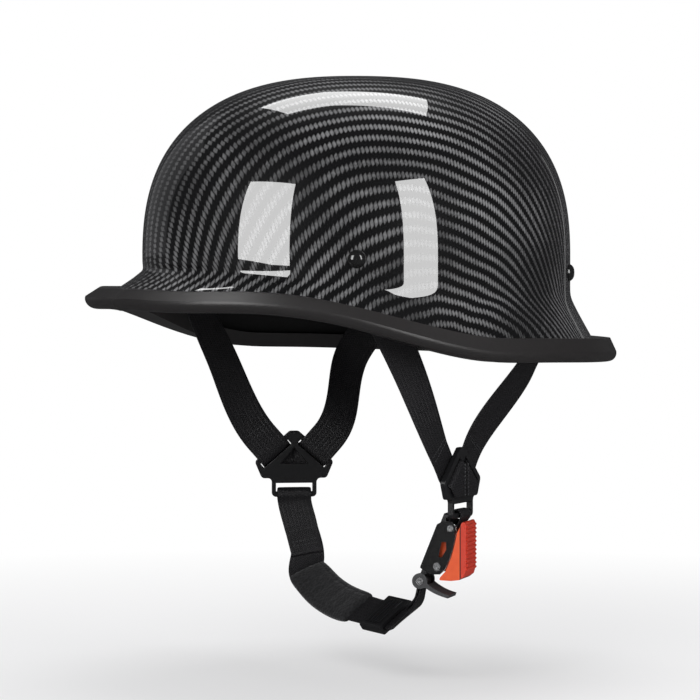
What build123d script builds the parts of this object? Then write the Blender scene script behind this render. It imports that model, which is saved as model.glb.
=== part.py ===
"""Half shell motorcycle helmet with V-straps and a ratchet chin buckle.

Units are millimetres. +Z is up, -Y is the front, +X is the wearer's left.
The origin is the crown seat: the point where the top of the wearer's head meets the crown pad.
"""
import os
from math import acos, atan2, cos, degrees, exp, radians, sin, sqrt

from build123d import *

os.makedirs("parts", exist_ok=True)

half_turn = 180.0

# Shell: three half lengths of the dome, its height above the brim crease and its squareness.
dome_front = 123.0
dome_rear = 123.0
dome_half_width = 105.0
shell_height = 101.0
dome_power = 2.55
shell_wall = 3.0
front_crease_drop = 2.5
visor_reach = 31.0
visor_fall = 13.0
side_crease_drop = 12.5
side_spread_share = 0.48
rear_crease_drop = 15.5
rear_spread_share = 0.62
crease_softness = 8.0

# Lower edge of the brim seen from the side: high in front, low over the ears, lower at the nape.
front_edge_drop = 24.0
ear_edge_drop = 51.5
edge_turn_front_y = -130.0
edge_turn_rear_y = 12.0
rear_fall_share = 0.038
rim_lift = 5.0
edge_end_y = 175.0
edge_steps = 28

# Rubber edge trim, with the sizes of its section in front and at the side.
front_brim_reach = 34.0
rear_brim_reach = 28.0
side_brim_reach = 21.0
trim_front = dome_front + front_brim_reach
trim_rear = dome_rear + rear_brim_reach
trim_half_width = dome_half_width + side_brim_reach
cut_half_width = 1.5 * trim_half_width
trim_height_front = 10.2
trim_height_side = 12.8
trim_ledge_front = 7.6
trim_ledge_side = 3.3
trim_nose_height = 5.6
trim_nose_middle = 3.9
trim_nose_low = 1.2
trim_nose_low_in = 1.1
trim_lip = 2.2
trim_lip_height = 8.0
trim_stations = 13
groove_clearance = 0.15

# Layers inside the shell.
layer_clearance = 0.3
liner_thickness = 16.0
pad_thickness = 6.0
crown_stack = shell_wall + liner_thickness + pad_thickness + 2 * layer_clearance
base_z = crown_stack - shell_height
liner_front_drop = 13.0
liner_ear_drop = 27.0
liner_rear_fall_share = 0.07
liner_turn_front_y = -95.0
liner_turn_rear_y = -15.0
liner_low_drop = 60.0
liner_mid_drop = 28.0
dome_angles = (5.0, 13.0, 22.0, 32.0, 42.0, 52.0, 62.0, 71.0, 79.0, 85.0, 89.2)
brim_drops = (60.0, 52.0, 44.0, 37.0, 31.0, 26.0, 22.0, 19.0, 16.0, 13.0, 10.5, 8.0, 5.5, 3.0, 0.5)
cut_depth = 2.5 * brim_drops[0]

# Comfort pads, each the size of its face.
crown_pad_half_length = 62.0
crown_pad_half_width = 50.0
brow_pad_half_width = 62.0
brow_pad_low_drop = 11.0
brow_pad_rise = 17.0
side_pad_half_length = 44.0
side_pad_low_drop = 22.0
side_pad_rise = 17.0
nape_pad_half_width = 50.0
nape_pad_low_drop = 29.0
nape_pad_rise = 10.0
pad_reach = 140.0

# Hook patches under the pads.
patch_radius = 8.0
patch_thickness = 1.0
patch_pocket_depth = 1.7
patch_clearance = 0.2
brow_patch_angle = 24.0
patch_rise = 3.0

# Strap rivets, washers and the webbing of the V-straps.
front_rivet_angle = -31.2
rear_rivet_angle = 50.0
front_rivet_rise = 3.0
rear_rivet_drop = 6.6
rivet_head_radius = 4.9
rivet_head_height = 2.7
rivet_shank_radius = 2.0
rivet_hole_clearance = 0.08
rivet_tail_radius = 3.2
rivet_tail_height = 1.0
washer_radius = 6.5
washer_thickness = 1.0
web_width = 20.0
web_thickness = 1.5
web_gap = 0.3
web_curve_gap = 0.75
leg_tail = 11.0
leg_steps = 4
washer_seat_length = 8.0
front_leg_inset = 14.6
front_leg_setback = 91.1
rear_leg_inset = 22.5
rear_leg_setback = 68.0
front_leg_x = dome_half_width - front_leg_inset
front_leg_y = front_leg_setback - dome_front
rear_leg_x = dome_half_width - rear_leg_inset
rear_leg_y = dome_rear - rear_leg_setback
leg_drop = 54.0
leg_channel_width = 26.0
leg_channel_length = 1.7 * leg_drop
leg_channel_depth = 60.0
leg_channel_gap = 3.6

# Strap divider: a triangular plate with two slanted slots, a window and a loop below.
divider_inset = 25.5
divider_x = dome_half_width - divider_inset
divider_y = 11.2
divider_drop = 116.0
divider_twist = 28.0
divider_thickness = 3.2
divider_half_width = 22.5
divider_foot_half_width = 18.5
divider_foot = 9.5
divider_top = 17.5
divider_top_half_width = 2.5
divider_corner = 2.4
divider_slot_inset = 4.6
divider_slot_shift = 1.3
divider_slot_length = 20.8
divider_slot_width = 3.0
window_half_width = 7.6
window_low = 1.0
window_top = 8.0
loop_half_width = 12.75
loop_low = 20.2
loop_bar = 3.0
loop_slot_half_width = 10.5
loop_slot_top = 12.3
hook_length = 15.0
hook_overlap = 1.0
fold_seam_gap = 0.3
fold_low = 8.5

# Buckle frame: the place of the lever pivot and the twist of the buckle about the vertical.
buckle_inset = 8.5
buckle_x = divider_x - buckle_inset
buckle_y = 5.0
buckle_drop = 162.0
buckle_twist = 38.0
plate_half_span = 9.0
plate_thickness = 1.0
housing_corner = 1.2
tongue_slant = 22.0
tongue_pin_out = -10.1
tongue_pin_up = -8.3
tongue_length = 39.0
tongue_half_width = 7.0
tongue_half_thickness = 1.3
tongue_end_radius = 4.2
tooth_pitch = 2.2
tooth_depth = 0.8
tooth_count = 11
tooth_end_margin = 1.6
floor_thickness = 0.8
floor_clearance = 0.2
floor_start = 7.0
floor_length = 25.5
pin_radius = 1.5
pin_head_radius = 2.1
pin_head_height = 0.6
pin_clearance = 0.06
pin_dimple_radius = 0.8
pin_dimple_depth = 0.4
tab_pin_out = 7.4
tab_pin_up = 20.6
tab_half_width = 6.0
tab_thickness = 1.3
tab_gap = 0.25

# Release lever.
lever_half_width = 10.0
lever_arm_half_width = 5.6
lever_hub_radius = 3.1
rib_count = 11
rib_pitch = 2.3
rib_radius = 0.75
rib_start_up = -1.2
rib_out = 16.2
rib_half_width = 9.2
pawl_gap = 0.1
spring_wire = 0.3
spring_radius = 2.2
spring_pitch = 0.75
spring_turns = 2
spring_start = 6.0

# Chin web from the right divider to the adjuster and on to the tongue: the first places along X
# follow the divider, the last ones the buckle.
chin_steps = 3
chin_drops = (151.0, 168.0, 176.5, 187.0, 191.2, 192.4, 192.9, 194.0)
chin_far_insets = (4.5, 12.5, 17.5, 41.5)
chin_middle_xs = (-18.0, -4.0, 4.0)
chin_near_inset = 33.0
chin_xs = (*(inset - divider_x for inset in chin_far_insets), *chin_middle_xs,
           buckle_x - chin_near_inset)
chin_ys = (12.2, 12.0, 7.5, 5.5, 4.2, 3.8, 3.6, 2.8)
chin_lean_shares = (0.0, 0.0, 0.32, 0.55, 0.6, 0.6, 0.58, 0.58)
chin_turns = (62.0, 62.0, 66.0, 76.0, 82.0, 86.0, 88.0, 88.0)
end_drops = (194.0, 188.2, 177.8)
end_insets = (32.5, 21.0, 10.1)
end_xs = tuple(buckle_x - inset for inset in end_insets)
end_ys = (2.8, 1.2, -1.7)
end_lean_shares = (0.55, 0.3, 0.0)
end_turns = (93.0, 110.0, 128.0)
end_half_width = 5.0
web_half_width = web_width / 2
web_gap_at_join = 0.5

# Chin pad, adjuster and guard flap.
pad_first = 2
pad_last = 5
pad_width = 23.5
pad_height = 6.4
pad_end_share = 0.72
pad_round_share = 0.45
pad_bore_width = 20.8
pad_bore_height = 2.3
adjuster_length = 20.0
adjuster_width = 25.0
adjuster_height = 5.6
adjuster_bore_width = 20.8
adjuster_bore_height = 2.3
adjuster_rib_count = 5
adjuster_rib_pitch = 2.6
adjuster_rib_radius = 0.8
adjuster_rib_length = 19.0
adjuster_corner = 1.6
adjuster_share = 0.56
flap_ear = 0.6
flap_upper = ((-5.6, -9.9), (-1.0, -12.8), (6.3, -15.4))
flap_lower = ((5.6, -17.1), (-2.0, -14.6), (-7.0, -11.8))
flap_ear_outline = ((-10.1, -5.4), (-5.6, -9.9), (-7.0, -11.8), (-10.1, -11.2))

# Clearances and shares used by several pieces.
seat_gap = 0.05
hook_turn = 1.1
divider_edge = 0.5
leg_channel_head = 16.0
pad_corner_share = 0.3
crown_corner_share = 0.45
rivet_dome_share = 0.72
tab_pin_radius = 1.2
tab_pin_head_radius = 1.7
loop_bar_hold = 2.0
tooth_slope_share = 0.9
fork_radius = 4.6
fork_half_width = 5.6
lever_corner = 0.6
pawl_along = 19.0
end_middle_half_width = 7.5
neck_open_share = 0.7

# Outlines in the buckle frame: outwards and upwards from the lever pivot.
plate_outline = ((3.5, 24.4), (8.2, 24.2), (10.2, 21.5), (9.5, 13.4), (7.6, 6.4), (4.2, -1.5),
                 (1.2, -4.2), (-3.0, -4.4))
plate_window = ((0.9, 5.2), (2.4, 4.9), (5.0, 9.0), (5.0, 13.2), (2.5, 13.2))
lever_cap_outline = ((14.3, 24.2), (15.4, 24.0), (16.2, 22.4), (16.2, -1.5), (15.2, -4.8),
                     (12.6, -6.8), (8.0, -7.4), (1.4, -7.2), (2.0, -5.6), (5.0, -2.3),
                     (8.4, 5.9), (10.3, 13.2), (11.2, 18.0), (13.2, 22.4))
lever_arm_outline = ((-2.6, 4.5), (-3.0, 0.0), (0.0, -3.0), (5.5, -2.0), (9.2, 5.5), (11.6, 13.0),
                     (11.6, 18.0), (7.0, 17.0), (2.5, 14.0), (0.6, 12.3))


def flare(side, drop):
    """How far the brim stands out at a drop below the crease plane, and its slope there."""
    if side == "front":
        d = max(drop - front_crease_drop, 0)
        fade = exp(-((d / visor_fall) ** 2))
        return visor_reach * (1 - fade), visor_reach * 2 * d / visor_fall ** 2 * fade
    start = side_crease_drop if side == "side" else rear_crease_drop
    share = side_spread_share if side == "side" else rear_spread_share
    d = max(drop - start, 0)
    root = sqrt(d * d + crease_softness ** 2)
    return share * (root - crease_softness), share * d / root


def reach(side, z, inset, brim=True):
    """Half length of the skin at height z, set in from the shell's outer face."""
    half = {"front": dome_front, "rear": dome_rear, "side": dome_half_width}[side]
    rise = z - base_z
    if rise > 0:
        share = (1 - min(rise / (shell_height - inset), 1) ** dome_power) ** (1 / dome_power)
        return (half - inset) * share
    out, slope = flare(side, -rise) if brim else (0, 0)
    return half + out - inset * sqrt(1 + slope ** 2)


def level(z, inset, brim=True):
    """Horizontal section of the skin: a front and a rear half ellipse on one width."""
    width = reach("side", z, inset, brim)
    with BuildSketch(Plane.XY.offset(z)) as section:
        with BuildLine():
            EllipticalCenterArc((0, 0), width, reach("front", z, inset, brim),
                                start_angle=half_turn, arc_size=half_turn)
            EllipticalCenterArc((0, 0), width, reach("rear", z, inset, brim),
                                start_angle=0, arc_size=half_turn)
        make_face()
    return section.sketch


def skin(inset, brim=True):
    """Sections of the skin from the lowest drop up to the top."""
    drops = brim_drops if brim else (liner_low_drop, liner_mid_drop, 0)
    rise = shell_height - inset
    heights = [base_z - drop for drop in drops]
    heights += [base_z + rise * sin(radians(a)) ** (2 / dome_power) for a in dome_angles]
    return [level(z, inset, brim) for z in heights]


def ease(y, start, end):
    """Smooth step from 0 to 1 between two places along Y."""
    t = min(max((y - start) / (end - start), 0), 1)
    return t * t * (3 - 2 * t)


def edge_height(y):
    """Height of the trim's lower edge at a place along Y."""
    turn = ease(y, edge_turn_front_y, edge_turn_rear_y)
    drop = front_edge_drop + (ear_edge_drop - front_edge_drop) * turn
    return base_z - drop - rear_fall_share * max(y - edge_turn_rear_y, 0)


def liner_height(y):
    """Height of the liner's lower edge at a place along Y."""
    turn = ease(y, liner_turn_front_y, liner_turn_rear_y)
    drop = liner_front_drop + (liner_ear_drop - liner_front_drop) * turn
    return base_z - drop - liner_rear_fall_share * max(y - liner_turn_rear_y, 0)


def below(height, lift):
    """Side view of everything below a height curve, raised by a lift."""
    step = 2 * edge_end_y / edge_steps
    line = [(-edge_end_y + step * i, height(-edge_end_y + step * i) + lift)
            for i in range(edge_steps + 1)]
    with BuildSketch(Plane.YZ) as side_view:
        with BuildLine():
            top = Spline(*line)
            Polyline(top @ 1, (edge_end_y, base_z - cut_depth), (-edge_end_y, base_z - cut_depth),
                     top @ 0)
        make_face()
    return side_view.sketch


def plan_point(angle, inset, z):
    """Point and outward normal on the skin at an angle round the plan."""
    side = "front" if angle < 0 else "rear"
    long, wide = reach(side, z, inset), reach("side", z, inset)
    c, s = cos(radians(angle)), sin(radians(angle))
    normal = Vector(c / wide, s / long, 0).normalized()
    return Vector(wide * c, long * s, z), normal


def strip(stations, half_widths, thicknesses):
    """Rectangles across a web: one for each station of point, along and across."""
    sections = []
    for (point, along, across), half, thickness in zip(stations, half_widths, thicknesses):
        flat = (across - along * across.dot(along)).normalized()
        with BuildSketch(Plane(origin=point, x_dir=flat, z_dir=along)) as section:
            Rectangle(2 * half, thickness)
        sections.append(section.sketch)
    return sections


def spread(stations, steps):
    """More stations on a smooth curve through the given ones, with the turn shared between them."""
    more = []
    points = [station[0] for station in stations]
    for i in range(len(points) - 1):
        before, start, end = points[max(i - 1, 0)], points[i], points[i + 1]
        after = points[min(i + 2, len(points) - 1)]
        pull = end - before
        curve = before * 2 - start * 5 + end * 4 - after
        twist = start * 3 - before - end * 3 + after
        for k in range(steps):
            t = k / steps
            point = start + (pull * t + curve * t ** 2 + twist * t ** 3) / 2
            along = (pull + curve * (2 * t) + twist * (3 * t ** 2)).normalized()
            across = stations[i][2] * (1 - t) + stations[i + 1][2] * t
            more.append((point, along, across.normalized()))
    more.append(stations[-1])
    return more


# Outer shell: outer skin less inner skin, cut along the brim edge, drilled for the rivets.
front_rivet, front_normal = plan_point(front_rivet_angle, 0, base_z + front_rivet_rise)
rear_rivet, rear_normal = plan_point(rear_rivet_angle, 0, base_z - rear_rivet_drop)
rivet_frames = []
for mirror_x in (1, -1):
    for point, normal in ((front_rivet, front_normal), (rear_rivet, rear_normal)):
        place = Vector(point.X * mirror_x, point.Y, point.Z)
        out = Vector(normal.X * mirror_x, normal.Y, 0)
        rivet_frames.append(Plane(origin=place, x_dir=Vector(0, 0, 1), z_dir=out))

with BuildPart() as outer_shell:
    loft(sections=skin(0))
    loft(sections=skin(shell_wall), mode=Mode.SUBTRACT)
    extrude(to_extrude=below(edge_height, rim_lift), amount=cut_half_width, both=True,
            mode=Mode.SUBTRACT)
    with Locations(*rivet_frames):
        Cylinder(rivet_shank_radius + rivet_hole_clearance, washer_radius * 2, mode=Mode.SUBTRACT)

with BuildPart() as grown_shell:
    loft(sections=skin(-groove_clearance))
    loft(sections=skin(shell_wall + groove_clearance), mode=Mode.SUBTRACT)
    extrude(to_extrude=below(edge_height, rim_lift - groove_clearance),
            amount=cut_half_width, both=True, mode=Mode.SUBTRACT)


def trim_ray(point, normal, z, inset):
    """Distance from the trim's nose, along its normal, to the skin at height z."""
    side = "front" if point.Y < 0 else "rear"
    long, wide = reach(side, z, inset), reach("side", z, inset)
    a = (normal.X / wide) ** 2 + (normal.Y / long) ** 2
    b = 2 * (point.X * normal.X / wide ** 2 + point.Y * normal.Y / long ** 2)
    c = (point.X / wide) ** 2 + (point.Y / long) ** 2 - 1
    return (-b + sqrt(b * b - 4 * a * c)) / (2 * a)


def trim_section(angle):
    """Section of the trim in the upright plane square to its nose line."""
    c, s = cos(radians(angle)), sin(radians(angle))
    long = trim_front if angle < 0 else trim_rear
    nose = Vector(trim_half_width * c, long * s, 0)
    out = Vector(c / trim_half_width, s / long, 0).normalized()
    front_share = ease(-s, 0, 1)
    low = edge_height(nose.Y)
    high = low + trim_height_side + (trim_height_front - trim_height_side) * front_share
    ledge = trim_ledge_side + (trim_ledge_front - trim_ledge_side) * front_share
    lip = low + trim_lip_height
    under = trim_ray(nose, out, low + trim_nose_low, shell_wall + trim_lip)
    with BuildSketch(Plane(origin=nose, x_dir=out, z_dir=Vector(out.Y, -out.X, 0))) as section:
        with BuildLine():
            Line((trim_ray(nose, out, high, shell_wall / 2), high), (-ledge, high))
            Line((-ledge, high), (0, low + trim_nose_height))
            Spline((0, low + trim_nose_height), (groove_clearance, low + trim_nose_middle),
                   (-trim_nose_low_in, low + trim_nose_low), (-ledge, low))
            Line((-ledge, low), (under, low))
            Line((under, low), (trim_ray(nose, out, lip, shell_wall + trim_lip), lip))
            Line((trim_ray(nose, out, lip, shell_wall + trim_lip), lip),
                 (trim_ray(nose, out, lip, shell_wall / 2), lip))
            Line((trim_ray(nose, out, lip, shell_wall / 2), lip),
                 (trim_ray(nose, out, high, shell_wall / 2), high))
        make_face()
    return section.sketch


# Edge trim: one half lofted from front to nape, mirrored, with the groove for the shell's rim.
trim_angles = [-90 + 180 * i / (trim_stations - 1) for i in range(trim_stations)]
with BuildPart() as edge_trim:
    loft(sections=[trim_section(a) for a in trim_angles])
    mirror(about=Plane.YZ)
    add(grown_shell.part, mode=Mode.SUBTRACT)

# Webbing legs of the V-straps: where each lies against the shell and where it meets the divider.
turn = radians(divider_twist)
divider_across = Vector(-sin(turn), cos(turn), 0)
divider_normal = Vector(cos(turn), sin(turn), 0)
divider_centre = Vector(divider_x, divider_y, base_z - divider_drop)
divider_frame = Plane(origin=divider_centre, x_dir=divider_across, z_dir=divider_normal)
web_inset = shell_wall + web_gap + web_curve_gap + web_thickness / 2
side_run = Vector(divider_top_half_width - divider_half_width, divider_top, 0)
side_length = side_run.length
side_along = side_run / side_length
side_out = Vector(side_along.Y, -side_along.X, 0)
slot_middle = (Vector(divider_half_width, 0, 0)
               + side_along * (side_length / 2 - divider_slot_shift)
               - side_out * divider_slot_inset)
layer_gap = divider_thickness / 2 + web_gap
layer_middle = layer_gap + web_thickness / 2


def on_divider(x, y, out):
    """Point of the divider's own frame in the assembly."""
    return (divider_centre + divider_across * x + Vector(0, 0, y) + divider_normal * out)


def leg_stations(rear):
    """Stations of one leg from its tail above the rivet down to the divider."""
    sign = 1 if rear else -1
    angle, z = ((rear_rivet_angle, rear_rivet.Z) if rear else (front_rivet_angle, front_rivet.Z))
    side = "rear" if rear else "front"
    anchor, out = plan_point(angle, 0, z)
    anchor = anchor - out * web_inset
    edge = Vector(rear_leg_x if rear else front_leg_x, rear_leg_y if rear else front_leg_y,
                  base_z - leg_drop)
    away = divider_across * (sign * side_out.X) + Vector(0, 0, side_out.Y)
    foot = (on_divider(sign * slot_middle.X, slot_middle.Y, -layer_middle)
            + away * (hook_length - hook_overlap))
    run = (edge - anchor).normalized()
    flat_run = (run - out * run.dot(out)).normalized()
    across = flat_run.cross(out) * -sign
    foot_across = (divider_across * side_out.Y - Vector(0, 0, sign * side_out.X)) * sign
    flat_end = (anchor + flat_run * washer_seat_length, flat_run, across)
    return [(anchor - flat_run * leg_tail, flat_run, across), flat_end] + spread(
        [flat_end, (edge, run, (across + foot_across).normalized()),
         (foot, away * -1, foot_across)], leg_steps)[1:]


def leg(rear):
    """One leg: a lofted web with a hole for its rivet, led behind the divider, through its slot and
    over its outer face to the seam in the middle."""
    sign = 1 if rear else -1
    stations = leg_stations(rear)
    away = divider_across * (sign * side_out.X) + Vector(0, 0, side_out.Y)
    slot = on_divider(sign * slot_middle.X, slot_middle.Y, 0)
    outer = layer_gap + web_thickness
    inner_turn = web_thickness - hook_turn
    run, across = stations[0][1:]
    anchor = stations[0][0] + run * leg_tail
    high = slot_middle + side_along * web_half_width
    low = slot_middle - side_along * web_half_width
    to_seam = (high.X - fold_seam_gap) / side_out.X
    to_foot = (low.Y + fold_low) / side_out.Y
    face = [low, high, high - side_out * to_seam, Vector(fold_seam_gap, -fold_low, 0),
            low - side_out * to_foot]
    with BuildPart() as web:
        loft(sections=strip(stations, [web_half_width] * len(stations),
                            [web_thickness] * len(stations)), ruled=True)
        with BuildSketch(Plane(origin=slot, x_dir=away, z_dir=away.cross(divider_normal))):
            with Locations(((hook_length - hook_turn) / 2, -layer_middle)):
                Rectangle(hook_length + hook_turn, web_thickness + 2 * seat_gap)
            with Locations(((inner_turn - hook_turn) / 2, 0)):
                Rectangle(inner_turn + hook_turn, 2 * outer)
        extrude(amount=web_half_width, both=True)
        with BuildSketch(divider_frame.offset(layer_gap)):
            with BuildLine():
                Polyline(*[(sign * point.X, point.Y) for point in face[::sign]], close=True)
            make_face()
        extrude(amount=web_thickness)
        with Locations(Plane(origin=anchor, x_dir=across, z_dir=run.cross(across))):
            Cylinder(rivet_shank_radius + web_gap, washer_radius, mode=Mode.SUBTRACT)
    return web.part


with BuildPart() as strap_front_left:
    add(leg(False))
with BuildPart() as strap_rear_left:
    add(leg(True))
with BuildPart() as strap_front_right:
    mirror(strap_front_left.part, about=Plane.YZ)
with BuildPart() as strap_rear_right:
    mirror(strap_rear_left.part, about=Plane.YZ)

# Divider: one plate with two slanted slots for the legs, a window and a loop for the chin strap.
with BuildPart() as divider_left:
    with BuildSketch(divider_frame):
        with BuildLine():
            Polyline((-divider_half_width, 0), (-divider_foot_half_width, -divider_foot),
                     (divider_foot_half_width, -divider_foot), (divider_half_width, 0),
                     (divider_top_half_width, divider_top),
                     (-divider_top_half_width, divider_top), close=True)
        make_face()
        with Locations((0, -(loop_low + divider_foot) / 2)):
            Rectangle(2 * loop_half_width, loop_low - divider_foot)
        fillet(vertices(), divider_corner)
        for sign in (1, -1):
            with Locations((sign * slot_middle.X, slot_middle.Y)):
                Rectangle(divider_slot_length, divider_slot_width, mode=Mode.SUBTRACT,
                          rotation=sign * degrees(atan2(side_along.Y, side_along.X)))
        with BuildLine():
            Polyline((-window_half_width, -window_low), (window_half_width, -window_low),
                     (0, window_top), close=True)
        make_face(mode=Mode.SUBTRACT)
        with Locations((0, (loop_bar - loop_low - loop_slot_top) / 2)):
            Rectangle(2 * loop_slot_half_width, loop_low - loop_bar - loop_slot_top,
                      mode=Mode.SUBTRACT)
    extrude(amount=divider_thickness / 2, both=True)
    fillet(faces().sort_by(Axis(divider_centre, divider_normal))[-1].edges(), divider_edge)
    fillet(faces().sort_by(Axis(divider_centre, divider_normal))[0].edges(), divider_edge)
with BuildPart() as divider_right:
    mirror(divider_left.part, about=Plane.YZ)

# Impact liner: foam between the shell and the pads, with a channel for each leg and pockets
# for the hook patches.
liner_inset = shell_wall + layer_clearance + liner_thickness
pad_outer_inset = liner_inset + layer_clearance
pad_inner_inset = pad_outer_inset + pad_thickness
patch_frames = []
for angle in (brow_patch_angle - half_turn / 2, -brow_patch_angle - half_turn / 2,
              0, half_turn, half_turn / 2):
    c, s = cos(radians(angle)), sin(radians(angle))
    long = (dome_front if angle < 0 else dome_rear) - liner_inset
    wide = dome_half_width - liner_inset
    patch_frames.append(Plane(origin=Vector(wide * c, long * s, base_z + patch_rise),
                              x_dir=Vector(0, 0, 1), z_dir=Vector(c / wide, s / long, 0)))
patch_frames.append(Plane(origin=Vector(0, 0, base_z + shell_height - liner_inset),
                          x_dir=Vector(1, 0, 0), z_dir=Vector(0, 0, 1)))
with BuildPart() as impact_liner:
    loft(sections=skin(shell_wall + layer_clearance, False))
    loft(sections=skin(liner_inset, False), mode=Mode.SUBTRACT)
    extrude(to_extrude=below(liner_height, 0), amount=cut_half_width, both=True,
            mode=Mode.SUBTRACT)
    for rear in (False, True):
        tail, run, across = leg_stations(rear)[0]
        anchor = tail + run * leg_tail
        edge = Vector(rear_leg_x if rear else front_leg_x, rear_leg_y if rear else front_leg_y,
                      base_z - leg_drop)
        way = (edge - anchor).normalized()
        sign = 1 if rear else -1
        out = way.cross(across) * sign
        middle = anchor + way * (leg_channel_length / 2 - leg_channel_head) - out * leg_channel_gap
        for side in (1, -1):
            place = Plane(origin=Vector(side * middle.X, middle.Y, middle.Z),
                          x_dir=Vector(side * way.X, way.Y, way.Z),
                          z_dir=Vector(side * out.X, out.Y, out.Z))
            with Locations(place):
                Box(leg_channel_length, leg_channel_width, leg_channel_depth,
                    align=(Align.CENTER, Align.CENTER, Align.MIN), mode=Mode.SUBTRACT)
    with Locations(*patch_frames):
        Cylinder(patch_radius + patch_clearance, 2 * patch_pocket_depth, mode=Mode.SUBTRACT)

with BuildPart() as hook_patches:
    with Locations(*[frame.offset(patch_pocket_depth - patch_clearance) for frame in patch_frames]):
        Cylinder(patch_radius, patch_thickness,
                 align=(Align.CENTER, Align.CENTER, Align.MAX))

# Comfort pads: slices of the layer inside the liner, each cut to its own rounded face.
with BuildPart() as pad_layer:
    loft(sections=skin(pad_outer_inset, False))
    loft(sections=skin(pad_inner_inset, False), mode=Mode.SUBTRACT)


def pad(frame, middle_x, middle_y, width, height, round_share):
    """One comfort pad: the pad layer inside a rounded face pushed through it."""
    with BuildPart() as piece:
        add(pad_layer.part)
        with BuildSketch(frame):
            with Locations((middle_x, middle_y)):
                RectangleRounded(width, height, min(width, height) * round_share)
        extrude(amount=pad_reach, mode=Mode.INTERSECT)
    return piece.part


front_view = Plane(origin=(0, 0, base_z), x_dir=(1, 0, 0), z_dir=(0, -1, 0))
rear_view = Plane(origin=(0, 0, base_z), x_dir=(-1, 0, 0), z_dir=(0, 1, 0))
left_view = Plane(origin=(0, 0, base_z), x_dir=(0, 1, 0), z_dir=(1, 0, 0))
crown_view = Plane(origin=(0, 0, base_z), x_dir=(1, 0, 0), z_dir=(0, 0, 1))
with BuildPart() as brow_pad:
    add(pad(front_view, 0, (brow_pad_rise - brow_pad_low_drop) / 2, 2 * brow_pad_half_width,
            brow_pad_rise + brow_pad_low_drop, pad_corner_share))
with BuildPart() as nape_pad:
    add(pad(rear_view, 0, (nape_pad_rise - nape_pad_low_drop) / 2, 2 * nape_pad_half_width,
            nape_pad_rise + nape_pad_low_drop, pad_corner_share))
with BuildPart() as side_pad_left:
    add(pad(left_view, 0, (side_pad_rise - side_pad_low_drop) / 2, 2 * side_pad_half_length,
            side_pad_rise + side_pad_low_drop, pad_corner_share))
with BuildPart() as side_pad_right:
    mirror(side_pad_left.part, about=Plane.YZ)
with BuildPart() as crown_pad:
    add(pad(crown_view, 0, 0, 2 * crown_pad_half_width, 2 * crown_pad_half_length,
            crown_corner_share))

# Strap rivets and their washers, four of each.
stack = shell_wall + web_gap + web_curve_gap + web_thickness + seat_gap
with BuildPart() as strap_rivets:
    for frame in rivet_frames:
        bar = stack + washer_thickness + seat_gap
        with BuildSketch(Plane(origin=frame.origin, x_dir=frame.x_dir,
                               z_dir=frame.x_dir.cross(frame.z_dir))):
            with BuildLine():
                dome = ThreePointArc((0, rivet_head_height),
                                     (rivet_head_radius * rivet_dome_share,
                                      rivet_head_height * rivet_dome_share),
                                     (rivet_head_radius, seat_gap))
                Polyline(dome @ 1, (rivet_shank_radius, seat_gap), (rivet_shank_radius, -bar),
                         (rivet_tail_radius, -bar), (rivet_tail_radius, -bar - rivet_tail_height),
                         (0, -bar - rivet_tail_height), dome @ 0)
            make_face()
        revolve(axis=Axis(frame.origin, frame.z_dir))
with BuildPart() as strap_washers:
    for frame in rivet_frames:
        with Locations(frame.offset(-stack)):
            Cylinder(washer_radius, washer_thickness,
                     align=(Align.CENTER, Align.CENTER, Align.MAX))
            Cylinder(rivet_shank_radius + rivet_hole_clearance, 3 * washer_thickness,
                     mode=Mode.SUBTRACT)

# Buckle: a frame at the lever pivot, x outwards, y up, z along the pins.
buckle_turn = radians(buckle_twist)
buckle_out = Vector(cos(buckle_turn), sin(buckle_turn), 0)
buckle_frame = Plane(origin=Vector(buckle_x, buckle_y, base_z - buckle_drop), x_dir=buckle_out,
                     z_dir=buckle_out.cross(Vector(0, 0, 1)))
loop_bar_middle = divider_centre - Vector(0, 0, loop_low - loop_bar / 2)
slant = radians(tongue_slant)


def on_tongue(along, side):
    """Point beside the tongue's line in the buckle frame: along it from its pin, and to a side."""
    return (tongue_pin_out + along * sin(slant) + side * cos(slant),
            tongue_pin_up + along * cos(slant) - side * sin(slant))


floor_side = tongue_half_thickness + floor_clearance
with BuildPart() as buckle_housing:
    with BuildSketch(buckle_frame.offset(plate_half_span - plate_thickness)):
        with BuildLine():
            Polyline(on_tongue(floor_start, -floor_side - floor_thickness),
                     on_tongue(floor_start + floor_length, -floor_side - floor_thickness),
                     *plate_outline, close=True)
        make_face()
        fillet(vertices(), housing_corner)
        with BuildLine():
            Polyline(*plate_window, close=True)
        make_face(mode=Mode.SUBTRACT)
        Circle(pin_radius + pin_clearance, mode=Mode.SUBTRACT)
        with Locations((tab_pin_out, tab_pin_up)):
            Circle(tab_pin_radius + pin_clearance, mode=Mode.SUBTRACT)
    extrude(amount=plate_thickness)
    mirror(about=buckle_frame)
    with BuildSketch(buckle_frame):
        with BuildLine():
            Polyline(on_tongue(floor_start, -floor_side),
                     on_tongue(floor_start + floor_length, -floor_side),
                     on_tongue(floor_start + floor_length, -floor_side - floor_thickness),
                     on_tongue(floor_start, -floor_side - floor_thickness), close=True)
        make_face()
    extrude(amount=plate_half_span - plate_thickness / 2, both=True)


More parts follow.
